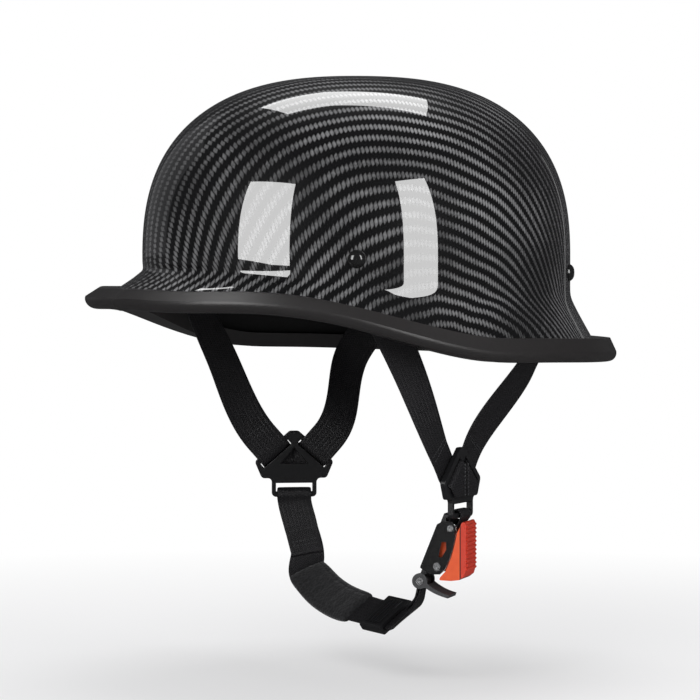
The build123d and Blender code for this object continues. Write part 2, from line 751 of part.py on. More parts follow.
def pin(x, y, radius, half_length, head_radius, head_height):
    """A pin along the buckle's pin direction, with a dimpled head at each end."""
    with BuildPart() as piece:
        with BuildSketch(buckle_frame):
            with Locations((x, y)):
                Circle(radius)
        extrude(amount=half_length, both=True)
        for end in (buckle_frame.offset(half_length),
                    buckle_frame.offset(-half_length - head_height)):
            with BuildSketch(end):
                with Locations((x, y)):
                    Circle(head_radius)
            extrude(amount=head_height)
        for end in (buckle_frame.offset(half_length + head_height - pin_dimple_depth),
                    buckle_frame.offset(-half_length - head_height)):
            with BuildSketch(end):
                with Locations((x, y)):
                    Circle(pin_dimple_radius)
            extrude(amount=pin_dimple_depth, mode=Mode.SUBTRACT)
    return piece.part


with BuildPart() as lever_pin:
    add(pin(0, 0, pin_radius, plate_half_span + seat_gap, pin_head_radius, pin_head_height))
with BuildPart() as tab_pin:
    add(pin(tab_pin_out, tab_pin_up, tab_pin_radius, plate_half_span + seat_gap,
            tab_pin_head_radius, pin_head_height))
with BuildPart() as tongue_pin:
    add(pin(tongue_pin_out, tongue_pin_up, pin_radius,
            tongue_half_width + flap_ear + 2 * seat_gap, pin_head_radius, pin_head_height))


def belt(frame, first, first_radius, second, second_radius):
    """Outline of a band stretched round two circles, as one face on a plane."""
    gap = second - first
    way = gap.normalized()
    lean = acos((first_radius - second_radius) / gap.length)
    points = []
    for turn_sign in (1, -1):
        c, s = cos(turn_sign * lean), sin(turn_sign * lean)
        side = Vector(way.X * c - way.Y * s, way.X * s + way.Y * c, 0)
        points.append((first + side * first_radius, second + side * second_radius))
    with BuildSketch(frame) as face:
        with Locations((first.X, first.Y)):
            Circle(first_radius)
        with Locations((second.X, second.Y)):
            Circle(second_radius)
        with BuildLine():
            Polyline((points[0][0].X, points[0][0].Y), (points[0][1].X, points[0][1].Y),
                     (points[1][1].X, points[1][1].Y), (points[1][0].X, points[1][0].Y),
                     close=True)
        make_face()
    return face.sketch


# Web tab: a sewn loop round the cross pin and the left divider's loop bar, twisted between them.
tab_outer = []
tab_inner = []
for sign in (1, -1):
    for grow, shapes in ((tab_thickness, tab_outer), (0, tab_inner)):
        end = sign * (tab_half_width if grow else tab_half_width + seat_gap)
        along_bar = divider_across * (end / divider_across.dot(buckle_frame.z_dir))
        bar = buckle_frame.to_local_coords(loop_bar_middle + along_bar)
        shapes.append(belt(buckle_frame.offset(end), Vector(tab_pin_out, tab_pin_up, 0),
                           tab_pin_radius + tab_gap + grow, Vector(bar.X, bar.Y, 0),
                           loop_bar_hold + tab_gap + grow))
with BuildPart() as web_tab:
    loft(sections=tab_outer)
    loft(sections=tab_inner, mode=Mode.SUBTRACT)

# Ratchet tongue: a strip with teeth outwards and a forked lower end for its pin.
with BuildPart() as ratchet_tongue:
    with BuildSketch(buckle_frame):
        with BuildLine():
            Polyline(on_tongue(0, -tongue_half_thickness),
                     on_tongue(tongue_length, -tongue_half_thickness),
                     on_tongue(tongue_length, tongue_half_thickness),
                     on_tongue(0, tongue_half_thickness), close=True)
        make_face()
        with Locations((tongue_pin_out, tongue_pin_up)):
            Circle(tongue_end_radius)
            Circle(pin_radius + pin_clearance, mode=Mode.SUBTRACT)
        for i in range(tooth_count):
            start = tongue_length - tooth_end_margin - i * tooth_pitch
            with BuildLine():
                Polyline(on_tongue(start, tongue_half_thickness + seat_gap),
                         on_tongue(start, tongue_half_thickness - tooth_depth),
                         on_tongue(start - tooth_pitch * tooth_slope_share,
                                   tongue_half_thickness + seat_gap), close=True)
            make_face(mode=Mode.SUBTRACT)
    extrude(amount=tongue_half_width, both=True)
    with BuildSketch(buckle_frame):
        with Locations((tongue_pin_out, tongue_pin_up)):
            Circle(fork_radius)
    extrude(amount=fork_half_width, both=True, mode=Mode.SUBTRACT)

# Release lever: a ribbed cap outside the plates and an arm with the pawl between them.
with BuildPart() as release_lever:
    with BuildSketch(buckle_frame):
        with BuildLine():
            Polyline(*lever_cap_outline, close=True)
        make_face()
        fillet(vertices(), lever_corner)
    extrude(amount=lever_half_width, both=True)
    with BuildSketch(buckle_frame):
        with BuildLine():
            Polyline(*lever_arm_outline, on_tongue(pawl_along, tongue_half_thickness + pawl_gap),
                     close=True)
        make_face()
        Circle(lever_hub_radius)
    extrude(amount=lever_arm_half_width, both=True)
    with BuildSketch(buckle_frame):
        for i in range(rib_count):
            with Locations((rib_out, rib_start_up + i * rib_pitch)):
                Circle(rib_radius)
    extrude(amount=rib_half_width, both=True)
    with BuildSketch(buckle_frame):
        Circle(pin_radius + pin_clearance)
    extrude(amount=lever_half_width, both=True, mode=Mode.SUBTRACT)

with BuildPart() as lever_spring:
    with BuildLine():
        coil = Helix(spring_pitch, spring_pitch * spring_turns, spring_radius,
                     center=buckle_frame.offset(spring_start).origin,
                     direction=buckle_frame.z_dir)
    with BuildSketch(Plane(origin=coil @ 0, z_dir=coil % 0)):
        Circle(spring_wire)
    sweep(is_frenet=True)


def web_stations(xs, ys, drops, turns, leans):
    """Stations along a web from its points, the turn of its width and how far the width leans."""
    points = [Vector(x, y, base_z - drop) for x, y, drop in zip(xs, ys, drops)]
    stations = []
    for i, point in enumerate(points):
        along = (points[min(i + 1, len(points) - 1)] - points[max(i - 1, 0)]).normalized()
        level_share = sqrt(1 - leans[i] ** 2)
        across = Vector(cos(radians(turns[i])) * level_share, sin(radians(turns[i])) * level_share,
                        leans[i])
        stations.append((point, along, across))
    return stations


# Chin web: a sewn loop on the right divider's bar, then one layer to the adjuster.
def sewn_loop(middle, bar_way, neck_station, hold, half_width):
    """Web folded round a bar and sewn to itself at a neck: the solid and the hollow inside it."""
    point, neck_way, neck_across = neck_station
    away = point - middle
    away = (away - bar_way * away.dot(bar_way)).normalized()
    frame = Plane(origin=middle, x_dir=away.cross(bar_way), z_dir=bar_way)
    hollow_end = middle + (point - middle) * neck_open_share
    with BuildPart() as fold:
        for grow, mode in ((web_thickness, Mode.ADD), (0, Mode.SUBTRACT)):
            reach_out = half_width if grow else half_width + web_gap_at_join
            with BuildSketch(frame):
                Circle(hold + grow)
            extrude(amount=reach_out, both=True, mode=mode)
            tip = (point, neck_way, neck_across) if grow else (hollow_end, away, bar_way)
            loft(sections=strip([(middle, away, bar_way), tip], [reach_out] * 2,
                                [2 * (hold + grow), 2 * max(grow, seat_gap)]), mode=mode)
    return fold.part


far_bar_middle = Vector(-loop_bar_middle.X, loop_bar_middle.Y, loop_bar_middle.Z)
far_bar_way = Vector(-divider_across.X, divider_across.Y, 0)
chin_points = web_stations(chin_xs, chin_ys, chin_drops, chin_turns, chin_lean_shares)
chin_stations = spread(chin_points, chin_steps)
with BuildPart() as chin_web:
    add(sewn_loop(far_bar_middle, far_bar_way, chin_stations[0], loop_bar_hold + 2 * web_gap,
                  web_half_width - web_gap_at_join))
    loft(sections=strip(chin_stations, [web_half_width] * len(chin_stations),
                        [2 * web_thickness] + [web_thickness] * (len(chin_stations) - 1)),
         ruled=True)

# Web end: from the adjuster to a sewn loop round the tongue's pin.
pin_point = buckle_frame.from_local_coords(Vector(tongue_pin_out, tongue_pin_up, 0))
pin_way = buckle_frame.z_dir * -1
end_stations = web_stations(end_xs, end_ys, end_drops, end_turns, end_lean_shares)
end_point = end_stations[-1][0]
end_run = pin_point - end_point
end_run = (end_run - pin_way * end_run.dot(pin_way)).normalized()
end_stations[0] = (end_stations[0][0], chin_stations[-1][1], chin_stations[-1][2])
end_stations[-1] = (end_point, end_run, pin_way)
with BuildPart() as web_end:
    add(sewn_loop(pin_point, pin_way, end_stations[-1], pin_radius + web_gap, end_half_width))
    loft(sections=strip(end_stations, [web_half_width, end_middle_half_width, end_half_width],
                        [web_thickness, 2 * web_thickness, 2 * web_thickness]))

# Chin pad: a soft sleeve round the web, fullest in its middle and drawn in at both ends.
pad_stations = chin_stations[pad_first * chin_steps:pad_last * chin_steps + 1]
with BuildPart() as chin_pad:
    shapes = []
    for i, (point, along, across) in enumerate(pad_stations):
        share = pad_end_share if i in (0, len(pad_stations) - 1) else 1
        flat = (across - along * across.dot(along)).normalized()
        with BuildSketch(Plane(origin=point, x_dir=flat, z_dir=along)) as section:
            RectangleRounded(pad_width, pad_height * share, pad_height * share * pad_round_share)
        shapes.append(section.sketch)
    loft(sections=shapes)
    loft(sections=strip(pad_stations, [pad_bore_width / 2] * len(pad_stations),
                        [pad_bore_height] * len(pad_stations)), ruled=True, mode=Mode.SUBTRACT)

# Adjuster: a slide on the straight run of the web, ribbed on its outer face.
run_start, run_end = chin_points[-2][0], chin_points[-1][0]
run_way = (run_end - run_start).normalized()
run_across = chin_points[-1][2]
run_flat = (run_across - run_way * run_across.dot(run_way)).normalized()
adjuster_frame = Plane(origin=run_start + (run_end - run_start) * adjuster_share, x_dir=run_flat,
                       z_dir=run_way)
with BuildPart() as strap_adjuster:
    with BuildSketch(adjuster_frame):
        RectangleRounded(adjuster_width, adjuster_height, adjuster_corner)
        Rectangle(adjuster_bore_width, adjuster_bore_height, mode=Mode.SUBTRACT)
    extrude(amount=adjuster_length / 2, both=True)
    for i in range(adjuster_rib_count):
        shift = (i - (adjuster_rib_count - 1) / 2) * adjuster_rib_pitch
        for face_sign in (1, -1):
            rib = (adjuster_frame.origin + run_way * shift
                   + adjuster_frame.y_dir * (face_sign * adjuster_height / 2))
            with Locations(Plane(origin=rib, x_dir=run_way, z_dir=run_flat)):
                Cylinder(adjuster_rib_radius, adjuster_rib_length)

# Guard flap: a curved lip outside the tongue's pin, with an ear on each side of the fork.
with BuildPart() as guard_flap:
    with BuildSketch(buckle_frame):
        with BuildLine():
            upper = Spline(*flap_upper)
            lower = Spline(*flap_lower)
            Line(upper @ 1, lower @ 0)
            Line(lower @ 1, upper @ 0)
        make_face()
    extrude(amount=tongue_half_width + flap_ear + seat_gap, both=True)
    for end in (buckle_frame.offset(tongue_half_width + seat_gap),
                buckle_frame.offset(-tongue_half_width - flap_ear - seat_gap)):
        with BuildSketch(end):
            with BuildLine():
                Polyline(*flap_ear_outline, close=True)
            make_face()
            with Locations((tongue_pin_out, tongue_pin_up)):
                Circle(tongue_end_radius)
                Circle(pin_radius + pin_clearance, mode=Mode.SUBTRACT)
        extrude(amount=flap_ear)

pieces = {
    "outer_shell": outer_shell, "edge_trim": edge_trim, "impact_liner": impact_liner,
    "crown_pad": crown_pad, "brow_pad": brow_pad, "nape_pad": nape_pad,
    "side_pad_left": side_pad_left, "side_pad_right": side_pad_right,
    "hook_patches": hook_patches, "strap_rivets": strap_rivets, "strap_washers": strap_washers,
    "strap_front_left": strap_front_left, "strap_front_right": strap_front_right,
    "strap_rear_left": strap_rear_left, "strap_rear_right": strap_rear_right,
    "divider_left": divider_left, "divider_right": divider_right, "web_tab": web_tab,
    "tab_pin": tab_pin, "buckle_housing": buckle_housing, "lever_pin": lever_pin,
    "lever_spring": lever_spring, "release_lever": release_lever,
    "ratchet_tongue": ratchet_tongue, "tongue_pin": tongue_pin, "guard_flap": guard_flap,
    "web_end": web_end, "chin_web": chin_web, "chin_pad": chin_pad,
    "strap_adjuster": strap_adjuster,
}
for name, piece in pieces.items():
    piece.part.label = name
    export_step(piece.part, "parts/" + name + ".step")
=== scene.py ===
"""Looks of a half shell helmet: carbon shell, padded inside, V-straps and a ratchet chin buckle.

Sizes are millimetres in the frame of the CAD part and become metres when a mesh is made.
"""

import bpy
import numpy as np
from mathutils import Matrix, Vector


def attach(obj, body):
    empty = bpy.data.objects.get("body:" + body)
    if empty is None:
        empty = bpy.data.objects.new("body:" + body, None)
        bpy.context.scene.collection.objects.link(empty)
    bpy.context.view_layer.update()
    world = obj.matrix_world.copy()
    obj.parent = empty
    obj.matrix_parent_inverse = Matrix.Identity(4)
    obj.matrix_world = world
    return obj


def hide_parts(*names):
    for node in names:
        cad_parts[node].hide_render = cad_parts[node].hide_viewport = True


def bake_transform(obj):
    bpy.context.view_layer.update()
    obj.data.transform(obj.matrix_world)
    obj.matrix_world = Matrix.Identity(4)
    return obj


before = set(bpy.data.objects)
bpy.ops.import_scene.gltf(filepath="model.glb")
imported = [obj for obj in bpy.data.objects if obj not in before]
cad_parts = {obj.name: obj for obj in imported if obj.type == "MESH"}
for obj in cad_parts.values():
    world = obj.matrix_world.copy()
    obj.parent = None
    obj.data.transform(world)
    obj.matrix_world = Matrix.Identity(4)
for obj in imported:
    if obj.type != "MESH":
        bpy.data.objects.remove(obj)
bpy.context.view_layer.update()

# Outer shell: a dome of carbon twill laid over a mould, trimmed along the brim and clear coated, with
# a plain matt coat inside. It's one closed surface from the crown to the rim and back up inside. Its
# UV map counts the twill's tows, so that the cloth's diagonal follows arcs round a low, level axis.
mm = 0.001
base_z = -75.4
shell_wall = 3.0
dome_half = {"front": 123.0, "rear": 123.0, "side": 105.0}
dome_height = 101.0
dome_power = 2.55
crown_end = np.radians(89.6)
visor_start, visor_reach, visor_fall = 2.5, 31.0, 13.0
brow_dent, brow_dent_drop, brow_dent_width, brow_dent_power = 1.2, 3.6, 2.8, 9
side_crease_drop, side_crease_power, side_crease_softness = 13.5, 0.7, 12.0
brim_start = {"side": 15.6, "rear": 18.6}
brim_spread = {"side": 0.48, "rear": 0.62}
brim_softness = 4.2
edge_front_y, edge_ear_y = -130.0, 12.0
edge_front_drop, edge_ear_drop, edge_nape_slope = 24.0, 27.5, 0.038
rim_inside_trim, rim_first_drop, rim_steps = 6.5, 40.0, 8
wale_pitch = 7.2
dash_pitch_front, dash_pitch_side = 2.5, 1.95
dash_pitch_turns = (-0.9, 0.25)
square_turn = 0.25
weave_axis_turn = np.radians(62.0)
weave_axis_offset, weave_pole_drop, weave_section_drop = 31.0, 58.0, 60.0
weave_rear_spread = 0.58
weave_wanders = ((0.75, 7.0, 23.0, 0.0), (0.3, 17.0, -11.0, 1.0))


def flare(side, drop):
    """How far the brim stands out below the crease: a bell curve's rise in front, a soft ramp else."""
    if side == "front":
        return visor_reach * (1 - np.exp(-(np.maximum(drop - visor_start, 0) / visor_fall) ** 2))
    past = np.maximum(drop - brim_start[side], 0)
    return brim_spread[side] * (np.hypot(past, brim_softness) - brim_softness)


def reach(side, z, inset):
    """Half length of a skin at height z: a superellipse above the crease and the flare below it."""
    rise = np.clip((z - base_z) / (dome_height - inset), 0, 1)
    dome = (dome_half[side] - inset) * (1 - rise ** dome_power) ** (1 / dome_power)
    return dome + np.where(z < base_z, flare(side, base_z - z), 0)


def ease(value, start, end):
    """Smooth step from 0 to 1 between two values."""
    t = np.clip((value - start) / (end - start), 0, 1)
    return t * t * (3 - 2 * t)


def bell(value, middle, width):
    """Bell curve: 1 at its middle, and the more a value is away from it the nearer to 0."""
    return np.exp(-((value - middle) / width) ** 2)


def edge_height(y):
    """Height of the trim's lower edge: high in front, low over the ears, lower at the nape."""
    return (base_z - edge_front_drop - edge_ear_drop * ease(y, edge_front_y, edge_ear_y)
            - edge_nape_slope * np.maximum(y - edge_ear_y, 0))


def skin_point(angle, z, inset):
    """Point of a skin at an angle round the plan: a front and a rear half ellipse on one width. The
    visor's crease starts lower towards the sides, and has a shallow hollow above it in front."""
    wide = reach("side", z, inset)
    drop, frontal = base_z - z, np.maximum(-np.sin(angle), 0)
    crease = side_crease_drop * (1 - frontal) ** side_crease_power
    softness = side_crease_softness * (1 - frontal) ** 0.5
    held = flare("front", drop) * (1 - ease(drop, crease - 0.01, crease + softness))
    hollow = brow_dent * frontal ** brow_dent_power * bell(drop, brow_dent_drop, brow_dent_width)
    front = reach("front", z, inset) - np.where(drop > 0, held, 0) - hollow
    long = np.where(np.sin(angle) < 0, front, reach("rear", z, inset))
    return np.stack([wide * np.cos(angle), long * np.sin(angle), z + 0 * wide * angle], axis=-1)


def rim_height(angle, inset, lift):
    """Height of an edge that follows the trim, found by stepping between height and place along Y."""
    z = np.full_like(angle, base_z - rim_first_drop)
    for _ in range(rim_steps):
        z = edge_height(skin_point(angle, z, inset)[..., 1]) + lift
    return z


def turns_round(count):
    """Even turns round a closed ring, in radians."""
    return np.linspace(0, 2 * np.pi, count, endpoint=False)


def skin_rings(inset, lift, brim_rows, dome_rows, columns):
    """Rings of a skin from its rim to its crown; the dome's rows are even in the curve's angle."""
    angle = turns_round(columns)
    rim = rim_height(angle, inset, lift)
    share = np.linspace(0, 1, brim_rows, endpoint=False)[:, None]
    brim = skin_point(angle, rim + (base_z - rim) * share, inset)
    climb = np.sin(np.linspace(0, crown_end, dome_rows))[:, None] ** (2 / dome_power)
    dome = skin_point(angle, base_z + (dome_height - inset) * climb + 0 * angle, inset)
    return np.concatenate([brim, dome])


def distance_along(points):
    """Distance from the first point of a path to each of its points."""
    return np.append(0, np.cumsum(np.linalg.norm(np.diff(points, axis=0), axis=1)))


def weave(points):
    """Tow counts at points of the dome. The diagonal follows circles round a low level axis, turned
    from the front: one coordinate is the distance over the dome's middle section, with a slow
    wander, the other the way along a circle. Behind the axis the circles are drawn out to ovals.
    Dashes are counted from the turn where they stand square to the diagonal, and their pitch
    shortens from the front to the side."""
    heights = np.concatenate([np.linspace(base_z - weave_section_drop, base_z, 40),
                              base_z + dome_height * np.sin(np.linspace(0, np.pi / 2, 90)) ** 0.8])
    half = np.stack([reach("side", heights, 0), heights - base_z + weave_pole_drop], axis=-1)
    arc = distance_along(half)
    arc -= arc[-1]
    tilt = np.arctan2(half[:, 1], half[:, 0])
    up = points[..., 2] - base_z + weave_pole_drop
    c, s = np.cos(weave_axis_turn), np.sin(weave_axis_turn)
    aside = points[..., 0] * s - points[..., 1] * c
    back = points[..., 0] * c + points[..., 1] * s - weave_axis_offset
    flatter = back * np.where(back > 0, weave_rear_spread, 1.0)
    lean = np.arctan2(np.hypot(flatter, up), np.abs(aside))
    across = np.interp(lean, tilt, arc) * np.sign(aside)
    radius = np.interp(lean, tilt, half[:, 1])
    turn = np.arctan2(back, up)
    turns = np.linspace(-np.pi, np.pi, 361)
    pitches = dash_pitch_front + (dash_pitch_side - dash_pitch_front) * ease(turns, *dash_pitch_turns)
    counted = np.cumsum((turns[1] - turns[0]) / pitches)
    dashes = np.interp(turn, turns, counted) - np.interp(square_turn, turns, counted)
    step_along = dashes * radius
    wander = sum(height * np.sin(waves * turn + across / span + shift)
                 for height, waves, span, shift in weave_wanders)
    step_across = 2 * (across + wander) / wale_pitch
    return np.stack([step_along + step_across, step_along - step_across], axis=-1)


def ring_quads(near, far):
    """Faces between rows of point numbers and the rows after them, each row closed round."""
    quads = np.stack([near, np.roll(near, -1, axis=1), np.roll(far, -1, axis=1), far], axis=-1)
    return quads.reshape(-1, 4)


def linked(name, data):
    """A new object for a mesh, a lamp or a camera, linked to the scene."""
    made = bpy.data.objects.new(name, data)
    bpy.context.scene.collection.objects.link(made)
    return made


def smooth_mesh(name, points, faces, material):
    """Smooth mesh of one material through points in millimetres."""
    mesh = bpy.data.meshes.new(name)
    mesh.from_pydata((points * mm).tolist(), [], faces)
    mesh.polygons.foreach_set("use_smooth", np.ones(len(faces), bool))
    mesh.materials.append(material)
    return mesh


def ring_surface(name, rings, uvs, material, closed=False):
    """Mesh through rings of points: quads between neighbours, and a fan to the middle of each end
    ring unless the rings close on themselves. Faces are turned so that the volume is positive."""
    rows, columns = rings.shape[:2]
    index = np.arange(rows * columns).reshape(rows, columns)
    quads = ring_quads(index, np.roll(index, -1, axis=0)) if closed else ring_quads(index[:-1], index[1:])
    points, coordinates = rings.reshape(-1, 3), uvs.reshape(-1, 2)
    faces = quads.tolist()
    corner = points[quads]
    volume = np.einsum("ij,ij->", corner[:, 0], np.cross(corner[:, 1], corner[:, 2])
                       + np.cross(corner[:, 2], corner[:, 3]))
    if not closed:
        points = np.concatenate([points, rings[[0, -1]].mean(axis=1)])
        coordinates = np.concatenate([coordinates, uvs[[0, -1]].mean(axis=1)])
        first = np.stack([np.roll(index[0], -1), index[0], np.full(columns, rows * columns)], axis=-1)
        last = np.stack([index[-1], np.roll(index[-1], -1), np.full(columns, rows * columns + 1)],
                        axis=-1)
        faces += first.tolist() + last.tolist()
    if volume < 0:
        faces = [face[::-1] for face in faces]
    mesh = smooth_mesh(name, points, faces, material)
    layer = mesh.uv_layers.new(name="UVMap")
    loop_points = np.zeros(len(mesh.loops), int)
    mesh.loops.foreach_get("vertex_index", loop_points)
    layer.data.foreach_set("uv", coordinates[loop_points].astype(np.float32).ravel())
    mesh.update()
    return linked(name, mesh)


def shader(name):
    """A new material with its node tree and its Principled shader."""
    material = bpy.data.materials.new(name)
    material.use_nodes = True
    return material, material.node_tree, material.node_tree.nodes["Principled BSDF"]


def wire(tree, kind, settings, *inputs, **named):
    """Adds a shader node, sets its options, fills its inputs in order or by name, with a link where
    the value is a socket, and gives its first output. None leaves an input as it is."""
    made = tree.nodes.new("ShaderNode" + kind)
    for key, value in settings.items():
        setattr(made, key, value)
    for socket, value in [*zip(made.inputs, inputs), *((made.inputs[key], named[key]) for key in named)]:
        if isinstance(value, bpy.types.NodeSocket):
            tree.links.new(value, socket)
        elif value is not None:
            socket.default_value = value
    return made.outputs[0]


def maths(operation, *inputs):
    """One Math node, in the node tree of the sockets that it reads."""
    tree = next(value.id_data for value in inputs if isinstance(value, bpy.types.NodeSocket))
    return wire(tree, "Math", {"operation": operation}, *inputs)


def mixed(factor, low, high):
    """A colour between two others, by a factor that is a socket. Colours are the node's inputs 6
    and 7 and its output 2."""
    return wire(factor.id_data, "Mix", {"data_type": "RGBA"}, factor, *[None] * 5, low, high).node.outputs[2]


def bumped(tree, principled, height, strength, distance):
    """Feeds a height into the shader's normal through a Bump node."""
    normal = wire(tree, "Bump", {}, Strength=strength, Distance=distance, Height=height)
    tree.links.new(normal, principled.inputs["Normal"])


def finish_values(principled, **values):
    """Sets the shader's own sockets, with underscores in the names for spaces."""
    for key, value in values.items():
        principled.inputs[key.replace("_", " ")].default_value = value


def own_place(tree):
    """The object's own coordinates, in metres."""
    return tree.nodes.new("ShaderNodeTexCoord").outputs["Object"]


def map_sides(tree):
    """The two coordinates of the piece's own UV map."""
    sides = wire(tree, "SeparateXYZ", {}, wire(tree, "UVMap", {"uv_map": "UVMap"}))
    return sides, sides.node.outputs[1]


def grain(tree, scale, detail):
    """Noise over the object's own coordinates."""
    return wire(tree, "TexNoise", {}, Vector=own_place(tree), Scale=scale, Detail=detail)


def mottled(name, pattern, settings, low, high, bump=None, **values):
    """A material that varies between two colours by a pattern, which may also raise its surface by
    a strength and a distance in metres. The other values go to the shader's own sockets."""
    material, tree, principled = shader(name)
    mottle = pattern(tree, *settings)
    tree.links.new(mixed(mottle, (*low, 1), (*high, 1)), principled.inputs["Base Color"])
    finish_values(principled, **values)
    if bump:
        bumped(tree, principled, mottle, *bump)
    return material


# A tow of the twill passes over two and under two others: the shift is where a float begins.
carbon, tree, principled = shader("carbon_twill")
# Painted light: both tow families are the same black fibre, but the warp's floats are painted as lit, in a
# painted sheen, and the weft's floats are painted dark as shaded tows.
dim_tow_sheen, lit_tow = (0.065, 0.065, 0.066, 1), (0.39, 0.39, 0.395, 1)
shaded_tow, gap_and_edge_shade = (0.0045, 0.0045, 0.005, 1), (0.002, 0.002, 0.002, 1)
twill_repeat, crown_power = 4.0, 3.4
warp_shift, weft_shift = 1.0, -2.0
sheen_patch_middle, sheen_patch_gain, fibre_glint_gain = 0.35, 1.9, 0.9
warp, weft = map_sides(tree)
order = maths("FLOORED_MODULO", maths("SUBTRACT", maths("FLOOR", warp), maths("FLOOR", weft)),
              twill_repeat)
warp_on_top = maths("LESS_THAN", order, 1.5)
profiles = []
for own, other, shift in ((warp, weft, warp_shift), (weft, warp, weft_shift)):
    apart = maths("SUBTRACT", maths("FLOOR", other), maths("FLOOR", own))
    cell = maths("FLOORED_MODULO", maths("ADD", apart, shift), twill_repeat)
    length = maths("MULTIPLY", maths("ADD", cell, maths("FRACT", other)), 0.5)
    crowns = []
    for share in (maths("FRACT", own), length):
        centred = maths("SUBTRACT", maths("MULTIPLY", share, 2.0), 1.0)
        edge = maths("POWER", maths("ABSOLUTE", centred), crown_power)
        crowns.append(maths("SUBTRACT", 1.0, edge))
    profiles.append(maths("MULTIPLY", *crowns))
# Each float is painted darker towards its edges and ends: dark gaps between the tows, with painted shade
# over each tow's rounding.
crown = maths("ADD", maths("MULTIPLY", profiles[0], warp_on_top),
              maths("MULTIPLY", profiles[1], maths("SUBTRACT", 1.0, warp_on_top)))
# Large noise patches and fine fibre noise vary the painted sheen of the lit floats: painted highlights and
# glints.
sheen_patches, fibre_glints = grain(tree, 17.0, 1.5), grain(tree, 700.0, 2.0)
shine = maths("ADD", maths("MULTIPLY", maths("SUBTRACT", sheen_patches, sheen_patch_middle), sheen_patch_gain),
              maths("MULTIPLY", maths("SUBTRACT", fibre_glints, 0.5), fibre_glint_gain))
shine = maths("MINIMUM", maths("MAXIMUM", shine, 0.0), 1.0)
tow_colour = mixed(warp_on_top, shaded_tow, mixed(shine, dim_tow_sheen, lit_tow))
tree.links.new(mixed(crown, gap_and_edge_shade, tow_colour), principled.inputs["Base Color"])
finish_values(principled, Roughness=0.42, Specular_IOR_Level=0.05, Coat_Weight=1.0,
              Coat_Roughness=0.015, Coat_IOR=1.9)

inside_coat = mottled("matt_inside_coat", grain, (1200.0, 3.0), (0.005, 0.005, 0.005),
                      (0.011, 0.011, 0.011), bump=(0.3, 0.0003), Roughness=0.7, Specular_IOR_Level=0.2)

shell_columns = 384
outer_rows, inner_rows = (30, 84), (16, 44)
outer = skin_rings(0, rim_inside_trim, *outer_rows, shell_columns)
inner = skin_rings(shell_wall, rim_inside_trim, *inner_rows, shell_columns)
shell_rings = np.concatenate([outer[::-1], inner])
shell = ring_surface("carbon_shell", shell_rings, weave(shell_rings), carbon)
shell.data.materials.append(inside_coat)
face_row = np.arange(len(shell.data.polygons)) // shell_columns
inside_faces = (face_row >= len(outer)) & (face_row != len(shell_rings) - 1)
shell.data.polygons.foreach_set("material_index", inside_faces.astype(np.int32))
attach(shell, "helmet")
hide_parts("outer_shell")


# Edge trim: a moulded rubber bead with a groove, pushed over the shell's rim and bonded.
# The CAD solid has its section; the material is a satin rubber with a fine matt grain.
def dress(node, material):
    """Shows a CAD node in a material."""
    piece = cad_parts[node]
    if piece.material_slots:
        piece.material_slots[0].material = material
    else:
        piece.data.materials.append(material)


rubber = mottled("trim_rubber", grain, (900.0, 4.0), (0.019, 0.0175, 0.0175), (0.028, 0.026, 0.026),
                 bump=(0.15, 0.0002), Roughness=0.36, Specular_IOR_Level=0.45)
dress("edge_trim", rubber)


# Impact liner: expanded foam beads moulded to the dome, black, seen between the pads from below.
# The CAD solid is shown; the bead pattern is cells in its material.
def round_cells(tree, scale):
    """Distance from the middles of scattered cells over the object's own coordinates."""
    return wire(tree, "TexVoronoi", {}, Vector=own_place(tree), Scale=scale)


foam = mottled("bead_foam", round_cells, (330.0,), (0.022, 0.022, 0.023), (0.010, 0.010, 0.010),
               bump=(0.5, 0.0006), Roughness=0.75, Specular_IOR_Level=0.25)
dress("impact_liner", foam)

# Hook patches: discs of hook tape glued in shallow pockets of the foam, which hold the pads.
# The CAD solids are shown, in a matt black with a grain as fine as the hooks.
tape = mottled("hook_tape", grain, (2400.0, 2.0), (0.008, 0.008, 0.008), (0.030, 0.030, 0.030),
               bump=(0.8, 0.0006), Roughness=0.9, Specular_IOR_Level=0.2)
dress("hook_patches", tape)

# Comfort pads: foam slices wrapped in black mesh cloth, sewn round the edge and quilted by channels.
# Each is a crowned surface between two skins of the dome, made by code from its face outline.
pad_outer, pad_thickness = 19.6, 5.8
pad_columns, pad_square = 160, 0.45
pad_shares = np.concatenate([np.linspace(0.02, 0.96, 44), np.linspace(0.97, 1, 6)])[:, None]
pad_edge_share, pad_edge_power, pad_crown = 0.3, 10, 0.14
pad_seam_share, pad_seam_width, pad_seam_depth = 0.88, 0.035, 0.22
pad_channel_width, pad_channel_depth, pad_channel_end = 3.2, 0.30, 0.9
mesh_cloth = mottled("mesh_cloth", round_cells, (620.0,), (0.006, 0.006, 0.006), (0.030, 0.030, 0.032),
                     bump=(0.6, 0.0004), Roughness=0.85, Specular_IOR_Level=0.2, Sheen_Weight=0.25,
                     Sheen_Roughness=0.4)


def squared(turns, side_power, rise_power):
    """Cosine and sine of turns round a squared oval: powers below one push them to the corners."""
    side, rise = np.cos(turns), np.sin(turns)
    return np.sign(side) * np.abs(side) ** side_power, np.sign(rise) * np.abs(rise) ** rise_power


def pad_skin(view, a, b, inset):
    """Point of the dome's skin under a place on a flat face: a and b are the face's two axes."""
    if view == "crown":
        q = np.sqrt((a / (dome_half["side"] - inset)) ** 2 + (b / (dome_half["front"] - inset)) ** 2)
        z = base_z + (dome_height - inset) * (1 - q ** dome_power) ** (1 / dome_power)
        return np.stack([a, b, z], axis=-1)
    z = base_z + b
    flat_z = np.maximum(z, base_z)
    wide, long = reach("side", flat_z, inset), reach("front", flat_z, inset)
    if view in ("left", "right"):
        sign = 1 if view == "left" else -1
        return np.stack([sign * wide * np.sqrt(1 - (a / long) ** 2), a, z], axis=-1)
    sign = -1 if view == "brow" else 1
    return np.stack([a, sign * long * np.sqrt(1 - (a / wide) ** 2), z], axis=-1)


